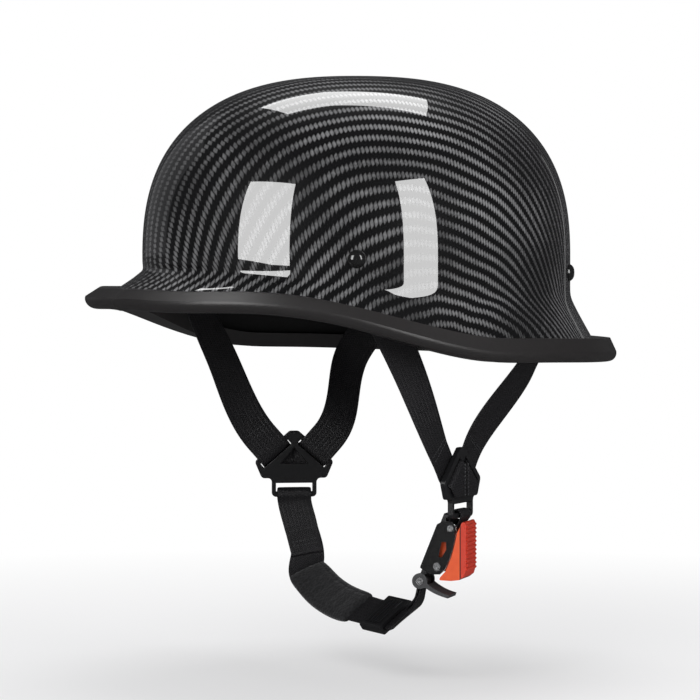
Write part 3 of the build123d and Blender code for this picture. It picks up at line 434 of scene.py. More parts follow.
def comfort_pad(node, view, middle_b, half_a, half_b, channels):
    """Crowned pad: rings of a squared oval, the inner face raised and pulled in at seam and channels."""
    rim_a, rim_b = squared(turns_round(pad_columns), pad_square, pad_square)
    a, b = half_a * pad_shares * rim_a, middle_b + half_b * pad_shares * rim_b
    height = np.sqrt(np.clip(1 - pad_shares ** pad_edge_power, 0, 1)) * (1 - pad_crown * pad_shares ** 2)
    height = height + 0 * a - pad_seam_depth * bell(pad_shares, pad_seam_share, pad_seam_width)
    for place in channels:
        height -= pad_channel_depth * bell(a, place, pad_channel_width) * (pad_shares < pad_channel_end)
    height = pad_edge_share + (1 - pad_edge_share) * np.clip(height, 0, 1)
    face = pad_skin(view, a, b, pad_outer + pad_thickness * height)
    back = pad_skin(view, a, b, pad_outer + 0 * height)[::-1]
    uvs = np.stack([a, b], axis=-1)
    piece = ring_surface(node + "_cloth", np.concatenate([face, back]), np.concatenate([uvs, uvs[::-1]]),
                         mesh_cloth)
    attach(piece, "helmet")
    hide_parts(node)


comfort_pad("crown_pad", "crown", 0, 50.0, 62.0, (-17.0, 17.0))
comfort_pad("brow_pad", "brow", 3.0, 62.0, 14.0, (-31.0, 0.0, 31.0))
comfort_pad("nape_pad", "nape", -9.5, 50.0, 19.5, (-25.0, 0.0, 25.0))
for side in ("left", "right"):
    comfort_pad("side_pad_" + side, side, -2.5, 44.0, 19.5, (-15.0, 15.0))

# Strap rivets and washers: black domed rivets through the shell, each closed on a steel washer.
# The CAD solids are shown, and the same plated steel serves the buckle's pins and spring.
black_paint = mottled("black_gloss_metal", grain, (500.0, 3.0), (0.006, 0.006, 0.006),
                      (0.014, 0.014, 0.014), Roughness=0.16, Specular_IOR_Level=0.7, Coat_Weight=0.6,
                      Coat_Roughness=0.05)
dress("strap_rivets", black_paint)
steel = mottled("plated_steel", grain, (700.0, 5.0), (0.48, 0.48, 0.49), (0.68, 0.68, 0.69),
                bump=(0.08, 0.0001), Metallic=1.0, Roughness=0.22)
for node in ("strap_washers", "tab_pin", "lever_pin", "tongue_pin", "lever_spring"):
    dress(node, steel)

# V-straps: 20 mm nylon webbing, riveted under the shell, run down behind the divider, out through its
# slot and over its face to a sewn seam in the middle. Each leg is one band along a smooth path.
web_half_width, web_thickness = 10.0, 1.5
web_spacing, web_columns = 1.4, 36
web_square = (0.35, 0.55)
selvedge_swell, selvedge_share, selvedge_width = 0.12, 0.9, 0.05
rivet_plan = {"front": (-31.2, 3.0), "rear": (50.0, -6.6)}
leg_pass = {"front": (90.4, -31.9, -54.0), "rear": (82.5, 55.0, -54.0)}
leg_tail, washer_seat = 11.0, 8.0
web_inset = 4.8
divider_centre = np.array([79.5, 11.2, base_z - 116.0])
divider_twist = np.radians(28.0)
divider_across = np.array([-np.sin(divider_twist), np.cos(divider_twist), 0])
divider_normal = np.array([np.cos(divider_twist), np.sin(divider_twist), 0])
divider_half_width, divider_top, divider_top_half = 22.5, 17.5, 2.5
slot_inset, slot_shift = 4.6, 1.3
layer_out = 2.65
slot_path = ((14.0, -layer_out), (8.0, -layer_out), (3.0, -layer_out), (0.6, -2.1), (-0.2, -0.8),
             (-0.5, 0.8), (-1.6, 2.2), (-4.0, layer_out), (-8.0, layer_out), (-13.0, layer_out),
             (-19.0, layer_out))
seam_gap, fold_foot, fold_bulge, fold_width, rear_fold = 0.02, -8.7, 0.5, 2.5, 1.6
face_layer_out, face_layer_top = 1.2, 16.0
slot_row_places, slot_row_share = (38.0, 39.5), 0.86
seam_places, seam_column, seam_out, seam_stitch = np.linspace(9.0, -7.0, 9), 2.2, 3.75, 1.5
up_way = np.array([0, 0, 1.0])


def unit(v):
    """Vectors of length one."""
    return v / np.linalg.norm(v, axis=-1, keepdims=True)


def smooth_path(points, acrosses, half_widths, thicknesses):
    """Hermite curve through points, its tangents weighted by the chord lengths on either side."""
    points, values = np.array(points, float), np.column_stack([acrosses, half_widths, thicknesses])
    chord = np.linalg.norm(np.diff(points, axis=0), axis=1)
    slope = np.diff(points, axis=0) / chord[:, None]
    tangent = np.concatenate([slope[:1], (slope[:-1] * chord[1:, None] + slope[1:] * chord[:-1, None])
                              / (chord[1:] + chord[:-1])[:, None], slope[-1:]])
    dense, carried = [], []
    for i, length in enumerate(chord):
        t = np.linspace(0, 1, max(3, int(length / web_spacing) + 1), endpoint=False)[:, None]
        leave = (2 * t ** 3 - 3 * t ** 2 + 1) * points[i] + (t ** 3 - 2 * t ** 2 + t) * length * tangent[i]
        arrive = (3 * t ** 2 - 2 * t ** 3) * points[i + 1] + (t ** 3 - t ** 2) * length * tangent[i + 1]
        dense.append(leave + arrive)
        carried.append(values[i] * (1 - t) + values[i + 1] * t)
    dense, carried = np.concatenate(dense + [points[-1:]]), np.concatenate(carried + [values[-1:]])
    return dense, unit(carried[:, :3]), carried[:, 3], carried[:, 4]


def web_frames(points, acrosses):
    """Directions along a band, across it and out of its face."""
    along = unit(np.gradient(points, axis=0))
    flat = unit(acrosses - along * np.sum(acrosses * along, axis=1, keepdims=True))
    return along, flat, np.cross(along, flat)


def web(name, points, acrosses, half_widths, thicknesses, tuck=None):
    """Band of webbing: a flattened oval section with full selvedges swept along a path. Tuck changes
    the rings before the mesh is made."""
    along, flat, normal = web_frames(points, acrosses)
    side, rise = squared(turns_round(web_columns), *web_square)
    swell = 1 + selvedge_swell * bell(np.abs(side), selvedge_share, selvedge_width)
    swell /= 1 + selvedge_swell
    rings = (points[:, None] + flat[:, None] * (half_widths[:, None] * side)[..., None]
             + normal[:, None] * (thicknesses[:, None] / 2 * rise * swell)[..., None])
    run = distance_along(points)
    uvs = np.stack([half_widths[:, None] * side, run[:, None] + 0 * side], axis=-1)
    if tuck:
        rings = tuck(rings)
    piece = ring_surface(name, rings, uvs, webbing)
    return piece


webbing, tree, principled = shader("nylon_webbing")
rib_pitch, pick_pitch = 1.15, 1.5
warp_side, warp_run = map_sides(tree)
column = maths("DIVIDE", warp_side, rib_pitch)
swing = maths("PINGPONG", column, 1.0)
picks = maths("FRACT", maths("ADD", maths("DIVIDE", warp_run, pick_pitch), swing))
yarn = maths("SINE", maths("MULTIPLY", picks, np.pi))
rib = maths("SINE", maths("MULTIPLY", maths("FRACT", column), np.pi))
weave_height_and_shade = maths("MULTIPLY", yarn, maths("ADD", 0.5, maths("MULTIPLY", rib, 0.5)))
# The colour follows the weave's height: painted shade in its hollows, lighter on the yarns' crowns.
tree.links.new(mixed(weave_height_and_shade, (0.002, 0.002, 0.003, 1), (0.022, 0.021, 0.023, 1)),
               principled.inputs["Base Color"])
finish_values(principled, Roughness=0.5, Specular_IOR_Level=0.3, Sheen_Weight=0.03, Sheen_Roughness=0.35)
bumped(tree, principled, weave_height_and_shade, strength=0.5, distance=0.0004)


def leg_path(which):
    """Path of the left leg from its tail above the rivet, through the divider and over its face."""
    sign = 1 if which == "rear" else -1
    angle, rise = rivet_plan[which]
    angle = np.radians(angle)
    z = base_z + rise
    wide, long = float(reach("side", np.array(z), 0)), float(reach(which, np.array(z), 0))
    out = unit(np.array([np.cos(angle) / wide, np.sin(angle) / long, 0]))
    anchor = np.array([wide * np.cos(angle), long * np.sin(angle), z]) - out * web_inset
    x, y, drop = leg_pass[which]
    edge = np.array([x, y, base_z + drop])
    side_edge = np.array([divider_top_half - divider_half_width, divider_top])
    side_along = unit(side_edge)
    side_out = np.array([side_along[1], -side_along[0]])
    middle = (np.array([divider_half_width, 0]) + side_edge / 2 - side_along * slot_shift
              - side_out * slot_inset)
    slot = divider_centre + divider_across * (sign * middle[0]) + up_way * middle[1]
    away = divider_across * (sign * side_out[0]) + up_way * side_out[1]
    hook = [slot + away * a + divider_normal * n for a, n in slot_path]
    run = unit(edge - anchor)
    flat_run = unit(run - out * np.dot(run, out))
    across = np.cross(flat_run, out) * -sign
    foot_across = (divider_across * side_out[1] - up_way * (sign * side_out[0])) * sign
    points = [anchor - flat_run * leg_tail, anchor, anchor + flat_run * washer_seat, edge] + hook
    acrosses = [across] * 3 + [unit(across + foot_across)] + [foot_across] * len(hook)
    return points, acrosses


thread = mottled("black_thread", grain, (3000.0, 2.0), (0.010, 0.010, 0.011), (0.075, 0.075, 0.080),
                 Roughness=0.5, Specular_IOR_Level=0.4)
stitch_shares, stitch_swell = np.array([0.0, 0.15, 0.5, 0.85, 1.0]), np.array([0.35, 0.8, 1.0, 0.8, 0.35])
stitch_sides, stitch_pitch, stitch_lift, stitch_fill = 6, 2.0, 0.52, 0.78


def stitches(name, starts, ends, radius=0.28):
    """Rows of thread: one short lens-shaped ring surface for each start and end, joined in a mesh."""
    starts, ends = np.array(starts, float), np.array(ends, float)
    width = radius * stitch_swell
    way = unit(ends - starts)
    side = unit(np.cross(way, np.where(np.abs(way[:, 2:]) > 0.9, np.array([1.0, 0, 0]), up_way)))
    lift = np.cross(way, side)
    turn = turns_round(stitch_sides)
    centre = starts[:, None] + (ends - starts)[:, None] * stitch_shares[:, None]
    ring = (side[:, None, None] * (width[:, None] * np.cos(turn))[..., None]
            + lift[:, None, None] * (width[:, None] * np.sin(turn))[..., None])
    points = (centre[:, :, None] + ring).reshape(-1, 3)
    index = np.arange(len(width) * stitch_sides).reshape(len(width), stitch_sides)
    quads = ring_quads(index[:-1], index[1:])
    faces = (quads[None] + (np.arange(len(starts)) * index.size)[:, None, None]).reshape(-1, 4)
    made = linked(name, smooth_mesh(name, points, faces[:, ::-1].tolist(), thread))
    return made


def cross_rows(points, acrosses, half_widths, thicknesses, places, width_share):
    """Ends of stitches in rows across a band at given distances along it, on both faces."""
    along, flat, normal = web_frames(points, acrosses)
    run = distance_along(points)
    starts, ends = [], []
    for place in places:
        i = int(np.argmin(np.abs(run - place)))
        half = half_widths[i] * width_share
        count = int(2 * half / stitch_pitch)
        at = np.linspace(-half, half, count, endpoint=False)[:, None]
        for face in (1, -1):
            lift = points[i] + normal[i] * (face * thicknesses[i] * stitch_lift)
            starts.append(lift + flat[i] * at)
            ends.append(lift + flat[i] * (at + stitch_pitch * stitch_fill))
    return np.concatenate(starts), np.concatenate(ends)


def mirror_x(points):
    """Points or directions mirrored in the middle plane."""
    return np.array(points, float) * np.array([-1.0, 1, 1])


def fold_at_seam(sign, mirror):
    """A tuck that stops the band's face layer at the seam in the divider's middle and at its foot."""
    def tuck(rings):
        local = (mirror_x(rings) if mirror else rings) - divider_centre
        along, up, out = local @ divider_across, local[..., 2], local @ divider_normal
        face = (out > face_layer_out) & (up < face_layer_top)
        middle = np.maximum(along * sign, seam_gap)
        bulge = fold_bulge * bell(middle, 0, fold_width) * (rear_fold if sign > 0 else 1)
        out = out + np.where(face, bulge, 0)
        along, up = np.where(face, middle * sign, along), np.where(face, np.maximum(up, fold_foot), up)
        back = divider_centre + along[..., None] * divider_across + up[..., None] * up_way
        back = back + out[..., None] * divider_normal
        return mirror_x(back) if mirror else back
    return tuck


for which in ("front", "rear"):
    for side in ("left", "right"):
        points, acrosses = leg_path(which)
        if side == "right":
            points, acrosses = mirror_x(points), mirror_x(acrosses)
        count = len(points)
        path = smooth_path(points, acrosses, [web_half_width] * count, [web_thickness] * count)
        sign = 1 if which == "rear" else -1
        strap = web(f"webbing_{which}_{side}", *path, tuck=fold_at_seam(sign, side == "right"))
        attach(strap, "helmet")
        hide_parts(f"strap_{which}_{side}")
        web_length = distance_along(path[0])[-1]
        rows = cross_rows(*path, [web_length - place for place in slot_row_places], slot_row_share)
        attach(stitches(f"stitches_{which}_{side}", *rows), "helmet")

for side in ("left", "right"):
    starts, ends = [], []
    for place in seam_places:
        for column in (-seam_column, seam_column):
            at = divider_centre + divider_across * column + up_way * place + divider_normal * seam_out
            starts.append(at)
            ends.append(at - up_way * seam_stitch)
    if side == "right":
        starts, ends = mirror_x(starts), mirror_x(ends)
    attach(stitches(f"seam_stitches_{side}", starts, ends, radius=0.32), "helmet")

# Dividers: moulded nylon plates that gather the two legs and carry the chin strap's loop.
# The CAD solids are shown, in a satin black with the fine grain of a moulded skin.
nylon = mottled("black_nylon", grain, (1500.0, 3.0), (0.008, 0.008, 0.009), (0.016, 0.016, 0.017),
                bump=(0.25, 0.0002), Roughness=0.36, Specular_IOR_Level=0.45)
for node in ("divider_left", "divider_right"):
    dress(node, nylon)

# Web tab: a narrow sewn band that ties the buckle's cross pin to the left divider's loop bar.
# It twists between the two, so each edge of it is a belt in its own plane of the buckle frame.
buckle_origin = np.array([71.0, 5.0, base_z - 162.0])
buckle_turn = np.radians(38.0)
buckle_out = np.array([np.cos(buckle_turn), np.sin(buckle_turn), 0])
buckle_across = np.cross(buckle_out, up_way)
tab_pin_at, tab_pin_radius, tab_gap = np.array([7.4, 20.6]), 1.2, 0.25
tab_half_width, tab_thickness, tab_square = 6.0, 1.3, (0.4, 0.6)
belt_points, tab_columns = 17, 28
loop_bar_drop, loop_bar_hold = 18.7, 2.0
loop_bar = divider_centre - up_way * loop_bar_drop


def buckle_point(out, up, across=0.0):
    """Point of the buckle's own frame in the assembly."""
    return buckle_origin + buckle_out * out + up_way * up + buckle_across * across


def tab_edge(across, grow):
    """Belt round the cross pin and the loop bar in one plane of the buckle frame, as a closed row."""
    bar = loop_bar + divider_across * (across / np.dot(divider_across, buckle_across))
    second = np.array([np.dot(bar - buckle_origin, buckle_out), bar[2] - buckle_origin[2]])
    gap = second - tab_pin_at
    heading = np.arctan2(gap[1], gap[0])
    first_radius = tab_pin_radius + tab_gap + grow
    second_radius = loop_bar_hold + tab_gap + grow
    lean = np.arccos((first_radius - second_radius) / np.hypot(*gap))
    back = heading + np.linspace(lean, 2 * np.pi - lean, belt_points)
    fore = heading + np.linspace(-lean, lean, belt_points)
    row = [tab_pin_at + first_radius * np.array([np.cos(a), np.sin(a)]) for a in back]
    row += [second + second_radius * np.array([np.cos(a), np.sin(a)]) for a in fore]
    return np.array([buckle_point(o, u, across) for o, u in row])


def between(low, high, share):
    """Points between two others, for a share that runs from -1 to 1."""
    return low * (1 - share) / 2 + high * (1 + share) / 2


side, rise = squared(turns_round(tab_columns), *tab_square)
low, high = (between(tab_edge(across, 0)[:, None], tab_edge(across, tab_thickness)[:, None],
                     rise[:, None]) for across in (-tab_half_width, tab_half_width))
tab_rings = between(low, high, side[:, None])
tab_run = distance_along(tab_rings[:, 0])
tab_uvs = np.stack([tab_half_width * side + 0 * tab_run[:, None], tab_run[:, None] + 0 * side], axis=-1)
tab = ring_surface("webbing_tab", tab_rings, tab_uvs, webbing, closed=True)
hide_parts("web_tab")
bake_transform(tab)

# Buckle: a folded steel housing, painted gloss black, with thin bright lines along its edges that are
# painted highlights. The release lever is orange nylon with its ribbed grip painted a darker red as shade,
# the tongue black nylon, the guard flap softer.
dress("buckle_housing", black_paint)
# Thin bright steel lines along the plates' edges are painted highlights of the glossy edges.
plate_edge = ((9.2, 23.0), (10.2, 21.5), (9.5, 13.4), (7.6, 6.4), (4.2, -1.5), (1.2, -4.2))
plate_half_span, plate_thickness = 9.0, 1.0
edge_highlight_radius, edge_highlight_columns = 0.17, 8
ones = np.ones(len(plate_edge))
line = smooth_path(np.column_stack([plate_edge, 0 * ones]), [up_way] * len(ones), ones, ones)[0]
line_side = np.cross(unit(np.gradient(line, axis=0)), up_way)
ring_turn = turns_round(edge_highlight_columns)
ring = (line[:, None] + line_side[:, None] * (edge_highlight_radius * np.cos(ring_turn))[:, None]
        + up_way * (edge_highlight_radius * np.sin(ring_turn))[:, None])
for number, across in enumerate((plate_half_span, plate_half_span - plate_thickness,
                                 plate_thickness - plate_half_span, -plate_half_span)):
    placed = buckle_point(ring[..., :1], ring[..., 1:2], ring[..., 2:] + across)
    edge_highlight = ring_surface(f"edge_highlight_line_{number}", placed, ring[..., :2], steel)
    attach(edge_highlight, "chin_loop")

# Release lever, tongue and guard flap: the lever's grip is painted a darker red than its arms as painted
# shade, with a dark band of painted shade between the two. The lever's colours change with the distance out
# from the buckle's lever pin.
orange, tree, principled = shader("orange_nylon")
grip_start, shade_band_half_width = 13.1, 0.35
blush = grain(tree, 260.0, 3.0)
along_out = wire(tree, "VectorMath", {"operation": "DOT_PRODUCT"}, own_place(tree), buckle_out)
outwards = maths("SUBTRACT", maths("MULTIPLY", along_out.node.outputs["Value"], 1 / mm),
                 float(buckle_origin @ buckle_out))
on_grip = maths("GREATER_THAN", outwards, grip_start)
in_shade_band = maths("LESS_THAN", maths("ABSOLUTE", maths("SUBTRACT", outwards, grip_start)), shade_band_half_width)
smooth_part = mixed(blush, (0.70, 0.075, 0.018, 1), (0.86, 0.125, 0.028, 1))
# The grip's darker red is painted shade, and so is the dark band at the grip's start.
grip_painted_shade = mixed(blush, (0.56, 0.035, 0.016, 1), (0.68, 0.052, 0.022, 1))
lever_colour = mixed(on_grip, smooth_part, grip_painted_shade)
tree.links.new(mixed(in_shade_band, lever_colour, (0.09, 0.010, 0.006, 1)), principled.inputs["Base Color"])
finish_values(principled, Roughness=0.34, Specular_IOR_Level=0.35)
bumped(tree, principled, grain(tree, 1800.0, 2.0), strength=0.12, distance=0.0002)
dress("release_lever", orange)
dress("ratchet_tongue", nylon)
flap_rubber = mottled("flap_rubber", grain, (1100.0, 3.0), (0.035, 0.035, 0.037), (0.060, 0.060, 0.063),
                      bump=(0.2, 0.0002), Roughness=0.5, Specular_IOR_Level=0.4)
dress("guard_flap", flap_rubber)

# Chin web: webbing sewn round the right divider's loop bar, bent under the chin to the adjuster.
# The path starts at the sewn tail, goes round the bar and comes back over it as the long run.
chin_xs = (-75.0, -67.0, -62.0, -38.0, -18.0, -4.0, 4.0, 38.0)
chin_ys = (12.2, 12.0, 7.5, 5.5, 4.2, 3.8, 3.6, 2.8)
chin_drops = (151.0, 168.0, 176.5, 187.0, 191.2, 192.4, 192.9, 194.0)
chin_leans = (0.0, 0.0, 0.32, 0.55, 0.6, 0.6, 0.58, 0.58)
chin_turns = (62.0, 62.0, 66.0, 76.0, 82.0, 86.0, 88.0, 88.0)
bar_loop_angles = np.radians(np.linspace(42, 318, 13))
bar_gap, neck_out, sewn_tail_out, sewn_head_out = 0.6, 0.8, 1.55, 0.05
join_half_width, open_points = 9.5, 6
loop_row_places, loop_row_share = (6.0, 8.0, 15.0), 0.8


def web_points(xs, ys, drops, turns, leans):
    """Points of a web and the way across it at each, from its turn in plan and its lean."""
    turns, leans = np.radians(turns), np.array(leans)
    flat = np.sqrt(1 - leans ** 2)
    return (np.column_stack([xs, ys, base_z - np.array(drops)]),
            np.column_stack([np.cos(turns) * flat, np.sin(turns) * flat, leans]))


def bar_loop(bar, bar_way, neck, radius):
    """Points round a bar in the plane square to it, starting and ending on the side of the neck."""
    away = unit((neck - bar) - bar_way * np.dot(neck - bar, bar_way))
    beside = np.cross(away, bar_way)
    return [bar + away * radius * np.cos(a) + beside * radius * np.sin(a) for a in bar_loop_angles], beside


chin_points, chin_acrosses = web_points(chin_xs, chin_ys, chin_drops, chin_turns, chin_leans)
far_bar = mirror_x(loop_bar)
far_bar_way = mirror_x(divider_across)
loop_points, beside = bar_loop(far_bar, far_bar_way, chin_points[0],
                               loop_bar_hold + bar_gap + web_thickness / 2)
tail_points = [chin_points[1] + beside * sewn_tail_out, chin_points[0] + beside * neck_out]
head_points = [chin_points[0] - beside * neck_out, chin_points[1] - beside * sewn_head_out]
points = np.array(tail_points + loop_points + head_points + list(chin_points[2:]))
acrosses = np.array([chin_acrosses[1], chin_acrosses[0]] + [far_bar_way] * len(loop_points)
                    + [chin_acrosses[0], chin_acrosses[1]] + list(chin_acrosses[2:]))
half_widths = [join_half_width] * (len(points) - open_points) + [web_half_width] * open_points
chin_path = smooth_path(points, acrosses, half_widths, [web_thickness] * len(points))
chin = web("webbing_chin", *chin_path)
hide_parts("chin_web")
rows = cross_rows(*chin_path, loop_row_places, loop_row_share)
for piece in (chin, stitches("stitches_chin_loop", *rows)):
    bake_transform(piece)

# Chin pad: a soft padded sleeve on the web under the chin, drawn in at both ends and quilted. It
# wraps the web's own path, and is made by code as a crowned sleeve in the pads' mesh cloth.
pad_width, pad_height = 23.5, 6.4
pad_end_half, pad_end_rise = 10.2, 1.3
pad_first, pad_count = 2, 4
sleeve_columns, sleeve_square, sleeve_ends = 72, (0.55, 0.75), (7, 0.45)
quilt_share, quilt_width, quilt_depth = 0.72, 0.05, 0.16
pull_shares, pull_width, pull_depth = np.array([0.2, 0.4, 0.6, 0.8]), 0.018, 0.10
points, acrosses, _, _ = smooth_path(chin_points[pad_first:pad_first + pad_count],
                                     chin_acrosses[pad_first:pad_first + pad_count],
                                     [pad_width / 2] * pad_count, [pad_height] * pad_count)
along, flat, normal = web_frames(points, acrosses)
share = np.linspace(0, 1, len(points))
full = (1 - np.abs(2 * share - 1) ** sleeve_ends[0]) ** sleeve_ends[1]
side, rise = squared(turns_round(sleeve_columns), *sleeve_square)
quilt = 1 - quilt_depth * bell(np.abs(side), quilt_share, quilt_width)
pull = 1 - pull_depth * bell(share[:, None], pull_shares, pull_width).sum(axis=1)
half_across = (pad_end_half + (pad_width / 2 - pad_end_half) * full)[:, None] * side
half_rise = ((pad_end_rise + (pad_height / 2 - pad_end_rise) * full) * pull)[:, None] * rise * quilt
rings = points[:, None] + flat[:, None] * half_across[..., None] + normal[:, None] * half_rise[..., None]
run = distance_along(points)
sleeve_uvs = np.stack([half_across, run[:, None] + 0 * side], axis=-1)
chin_sleeve = ring_surface("chin_pad_cloth", rings, sleeve_uvs, mesh_cloth)
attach(chin_sleeve, "chin_loop")
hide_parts("chin_pad")

# Strap adjuster: a moulded nylon slide with ribs for the fingers, on the straight run of the web.
# The CAD solid is shown, in the dividers' nylon.
dress("strap_adjuster", nylon)

# Web end: the last of the web from the adjuster, folded round the tongue's pin and sewn. It runs
# from the chin web's end to the tongue's pin.
end_xs, end_ys, end_drops = (38.5, 50.0, 60.9), (2.8, 1.2, -1.7), (194.0, 188.2, 177.8)
end_leans, end_turns = (0.55, 0.3, 0.0), (93.0, 110.0, 128.0)
tongue_pin_place, tongue_pin_radius, tongue_pin_gap = (-10.1, -8.3), 1.5, 0.3
tail_share, tail_out = 0.35, 1.4
end_half_widths, loop_half_width, tail_half_width = (10.0, 7.5), 5.0, 6.0
end_points, end_acrosses = web_points(end_xs, end_ys, end_drops, end_turns, end_leans)
end_acrosses[0] = chin_acrosses[-1]
tongue_pin = buckle_point(*tongue_pin_place)
pin_way = -buckle_across
end_acrosses[-1] = pin_way
loop_points, beside = bar_loop(tongue_pin, pin_way, end_points[-1],
                               tongue_pin_radius + tongue_pin_gap + web_thickness / 2)
tail = end_points[1] + (end_points[-1] - end_points[1]) * tail_share - beside * tail_out
points = np.array([*end_points[:-1], end_points[-1] + beside * neck_out, *loop_points,
                   end_points[-1] - beside * neck_out, tail])
acrosses = np.array([*end_acrosses[:-1]] + [pin_way] * (len(loop_points) + 2)
                    + [unit(end_acrosses[1] + pin_way)])
widths = [*end_half_widths] + [loop_half_width] * (len(loop_points) + 2) + [tail_half_width]
end_path = smooth_path(points, acrosses, widths, [web_thickness] * len(points))
end_web = web("webbing_end", *end_path)
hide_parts("web_end")
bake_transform(end_web)

# Background and lamps: the studio is white where it is seen or mirrored, and lights the object at
# half that strength. The lamps are large and soft, and can't be seen in its gloss.
world = bpy.data.worlds.new("studio")
bpy.context.scene.world = world
world.use_nodes = True
tree = world.node_tree
background = tree.nodes["Background"]
path_facts = tree.nodes.new("ShaderNodeLightPath")
seen = maths("MAXIMUM", path_facts.outputs["Is Camera Ray"],
             maths("MAXIMUM", path_facts.outputs["Is Glossy Ray"],
                   path_facts.outputs["Is Transmission Ray"]))
tree.links.new(mixed(seen, (0.5, 0.5, 0.515, 1), (1.0, 1.0, 1.0, 1)), background.inputs["Color"])
background.inputs["Strength"].default_value = 1.0


def soft_lamp(name, place, width, watts):
    """Square lamp at a place in metres, turned towards the middle of the helmet."""
    data = bpy.data.lights.new(name, "AREA")
    data.shape = "RECTANGLE"
    data.size, data.size_y, data.energy = width, width, watts
    made = linked(name, data)
    made.location = place
    made.rotation_euler = (Vector(place) - lamp_aim).to_track_quat("Z", "Y").to_euler()
    made.visible_glossy = False


lamp_aim = Vector((0, 0, -0.1))
soft_lamp("key", (1.1, -1.5, 1.0), 0.9, 14)
soft_lamp("fill", (1.7, 0.5, 0.3), 0.9, 7)
soft_lamp("top", (0.0, 0.2, 1.9), 1.2, 11)


# Reflections: the clear coat mirrors white light boxes in a dark room. Each is a panel that glows, or
# is nearly black, and shows in reflections only.
def glossy_only(name, corners, colour, strength):
    """Glowing or dark panel of the studio that shows only in reflections."""
    mesh = bpy.data.meshes.new(name)
    mesh.from_pydata(corners, [], [tuple(range(len(corners)))])
    made = linked(name, mesh)
    glow, tree, principled = shader(name)
    finish_values(principled, Base_Color=(0, 0, 0, 1), Specular_IOR_Level=0.0, Roughness=1.0,
                  Emission_Color=colour, Emission_Strength=strength)
    mesh.materials.append(glow)
    made.visible_camera = made.visible_diffuse = made.visible_shadow = made.visible_transmission = False


def upright_panel(name, low_azimuth, high_azimuth, distance, low, high, colour, strength):
    """Upright panel between two directions round the object: azimuth 0 is in front, 90 on its left."""
    ends = [(distance * np.sin(np.radians(a)), -distance * np.cos(np.radians(a)))
            for a in (low_azimuth, high_azimuth)]
    corners = [(*ends[0], low), (*ends[1], low), (*ends[1], high), (*ends[0], high)]
    glossy_only(name, corners, colour, strength)


def rise_to(distance, elevation):
    """Height of a direction's elevation in degrees at a distance, from the crease plane up."""
    return base_z * mm + distance * np.tan(np.radians(elevation))


white = (1.0, 1.0, 1.0, 1)
for name, azimuths, elevations, distance, strength in (
        ("left_light_box", (6.0, 36.0), (-2.2, 33.0), 1.5, 6.0),
        ("right_light_box", (91.0, 107.0), (-2.2, 32.0), 1.5, 6.0),
        ("rear_light_strip", (203.5, 205.5), (-2.0, 15.0), 5.0, 0.35)):
    low, high = (rise_to(distance, elevation) for elevation in elevations)
    upright_panel(name, *azimuths, distance, low, high, white, strength)
top_height, top_strength = 4.0, 3.9
top_azimuths = np.radians([-97, -121, -147, -178, -121, -84])
top_elevations = np.radians([51, 47, 47, 60, 69, 69])
top_reach = top_height / np.tan(top_elevations)
top_corners = np.column_stack([top_reach * np.sin(top_azimuths), -top_reach * np.cos(top_azimuths),
                               np.full(len(top_reach), base_z * mm + top_height)])
glossy_only("top_light_box", top_corners.tolist(), white, top_strength)
wall_distance, wall_low, wall_high, wall_step, side_wall = 8.0, -3.0, 6.0, 20, (-110, -70)
wall_colour, side_wall_colour = (0.045, 0.045, 0.047, 1), (0.15, 0.15, 0.155, 1)
for start in range(-180, 180, wall_step):
    colour = side_wall_colour if side_wall[0] <= start < side_wall[1] else wall_colour
    upright_panel("dark_wall", start, start + wall_step, wall_distance, wall_low, wall_high, colour, 1.0)
wall_turns, ceiling_radius = turns_round(24), 9.0
ceiling = np.column_stack([ceiling_radius * np.sin(wall_turns), ceiling_radius * np.cos(wall_turns),
                           0 * wall_turns + wall_high])
glossy_only("dark_ceiling", ceiling.tolist(), wall_colour, 1.0)

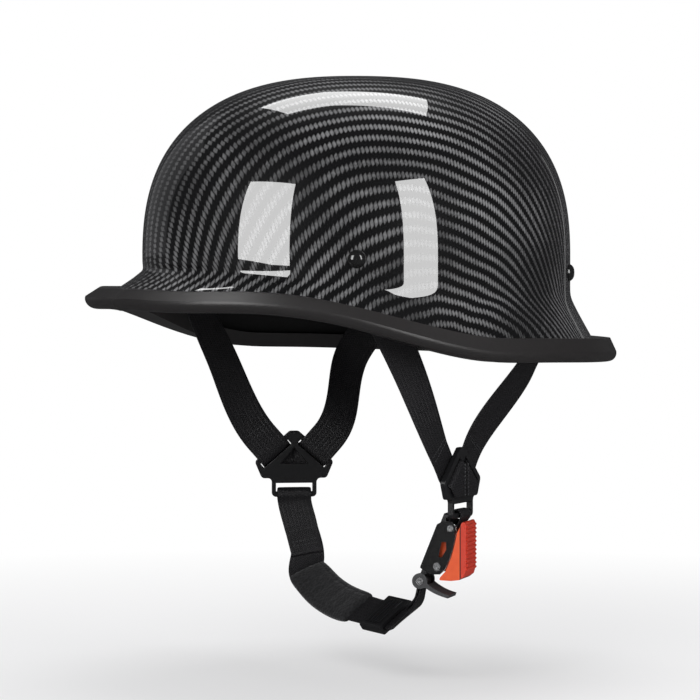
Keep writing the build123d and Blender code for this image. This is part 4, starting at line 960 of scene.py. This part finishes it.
# Camera: 55 degrees round from the front and nearly level, two metres off. The middle of the dome's
# crease comes 8 pixels right of and 89.5 above the middle of a picture 700 pixels wide.
camera_azimuth, camera_elevation, camera_distance = np.radians(55.0), np.radians(1.2), 2.0
crease_right_pixels, crease_up_pixels, pixels_per_metre = 8.0, 89.5, 1820
camera_back = Vector((np.sin(camera_azimuth) * np.cos(camera_elevation),
                      -np.cos(camera_azimuth) * np.cos(camera_elevation), np.sin(camera_elevation)))
camera_right = Vector((np.cos(camera_azimuth), np.sin(camera_azimuth), 0))
camera_up = camera_back.cross(camera_right)
crease = Vector((0, 0, base_z * mm))
camera_data = bpy.data.cameras.new("camera")
camera_data.lens, camera_data.sensor_width = 187.2, 36.0
camera_data.clip_start, camera_data.clip_end = 0.1, 20.0
camera = linked("camera", camera_data)
camera.location = crease + camera_back * camera_distance
target = (crease - camera_right * (crease_right_pixels / pixels_per_metre)
          - camera_up * (crease_up_pixels / pixels_per_metre))
camera.rotation_euler = (camera.location - target).to_track_quat("Z", "Y").to_euler()
bpy.context.scene.camera = camera
bpy.context.scene.view_settings.view_transform = "Standard"

# Floor: a pale plane below the straps that takes the object's shadow and fades into the background.
# It glows white to the camera, more so further out, and is dark in reflections.
floor_z, floor_half = -0.305, 6
fade_start, fade_slope, fade_least = 0.1, 1.5, 0.4
mirrored_floor = (0.07, 0.07, 0.072, 1)
floor_mesh = bpy.data.meshes.new("floor")
floor_mesh.from_pydata([(x * floor_half, y * floor_half, floor_z)
                        for x, y in ((-1, -1), (1, -1), (1, 1), (-1, 1))], [], [(0, 1, 2, 3)])
floor = linked("floor", floor_mesh)
pale, tree, principled = shader("pale_floor")
finish_values(principled, Base_Color=(0.93, 0.93, 0.93, 1), Roughness=0.9, Specular_IOR_Level=0.1)
spot = wire(tree, "VectorMath", {"operation": "LENGTH"}, own_place(tree)).node.outputs["Value"]
ramp = maths("MULTIPLY", maths("SUBTRACT", spot, fade_start), fade_slope)
fade = maths("MINIMUM", maths("MAXIMUM", ramp, fade_least), 1.0)
path_facts = tree.nodes.new("ShaderNodeLightPath")
mirrored = path_facts.outputs["Is Glossy Ray"]
seen = maths("MAXIMUM", path_facts.outputs["Is Camera Ray"], path_facts.outputs["Is Transmission Ray"])
glow = wire(tree, "Emission", {}, mixed(mirrored, (1, 1, 1, 1), mirrored_floor))
blend = wire(tree, "MixShader", {}, maths("MAXIMUM", maths("MULTIPLY", fade, seen), mirrored),
             principled.outputs[0], glow)
tree.links.new(blend, tree.nodes["Material Output"].inputs["Surface"])
floor_mesh.materials.append(pale)
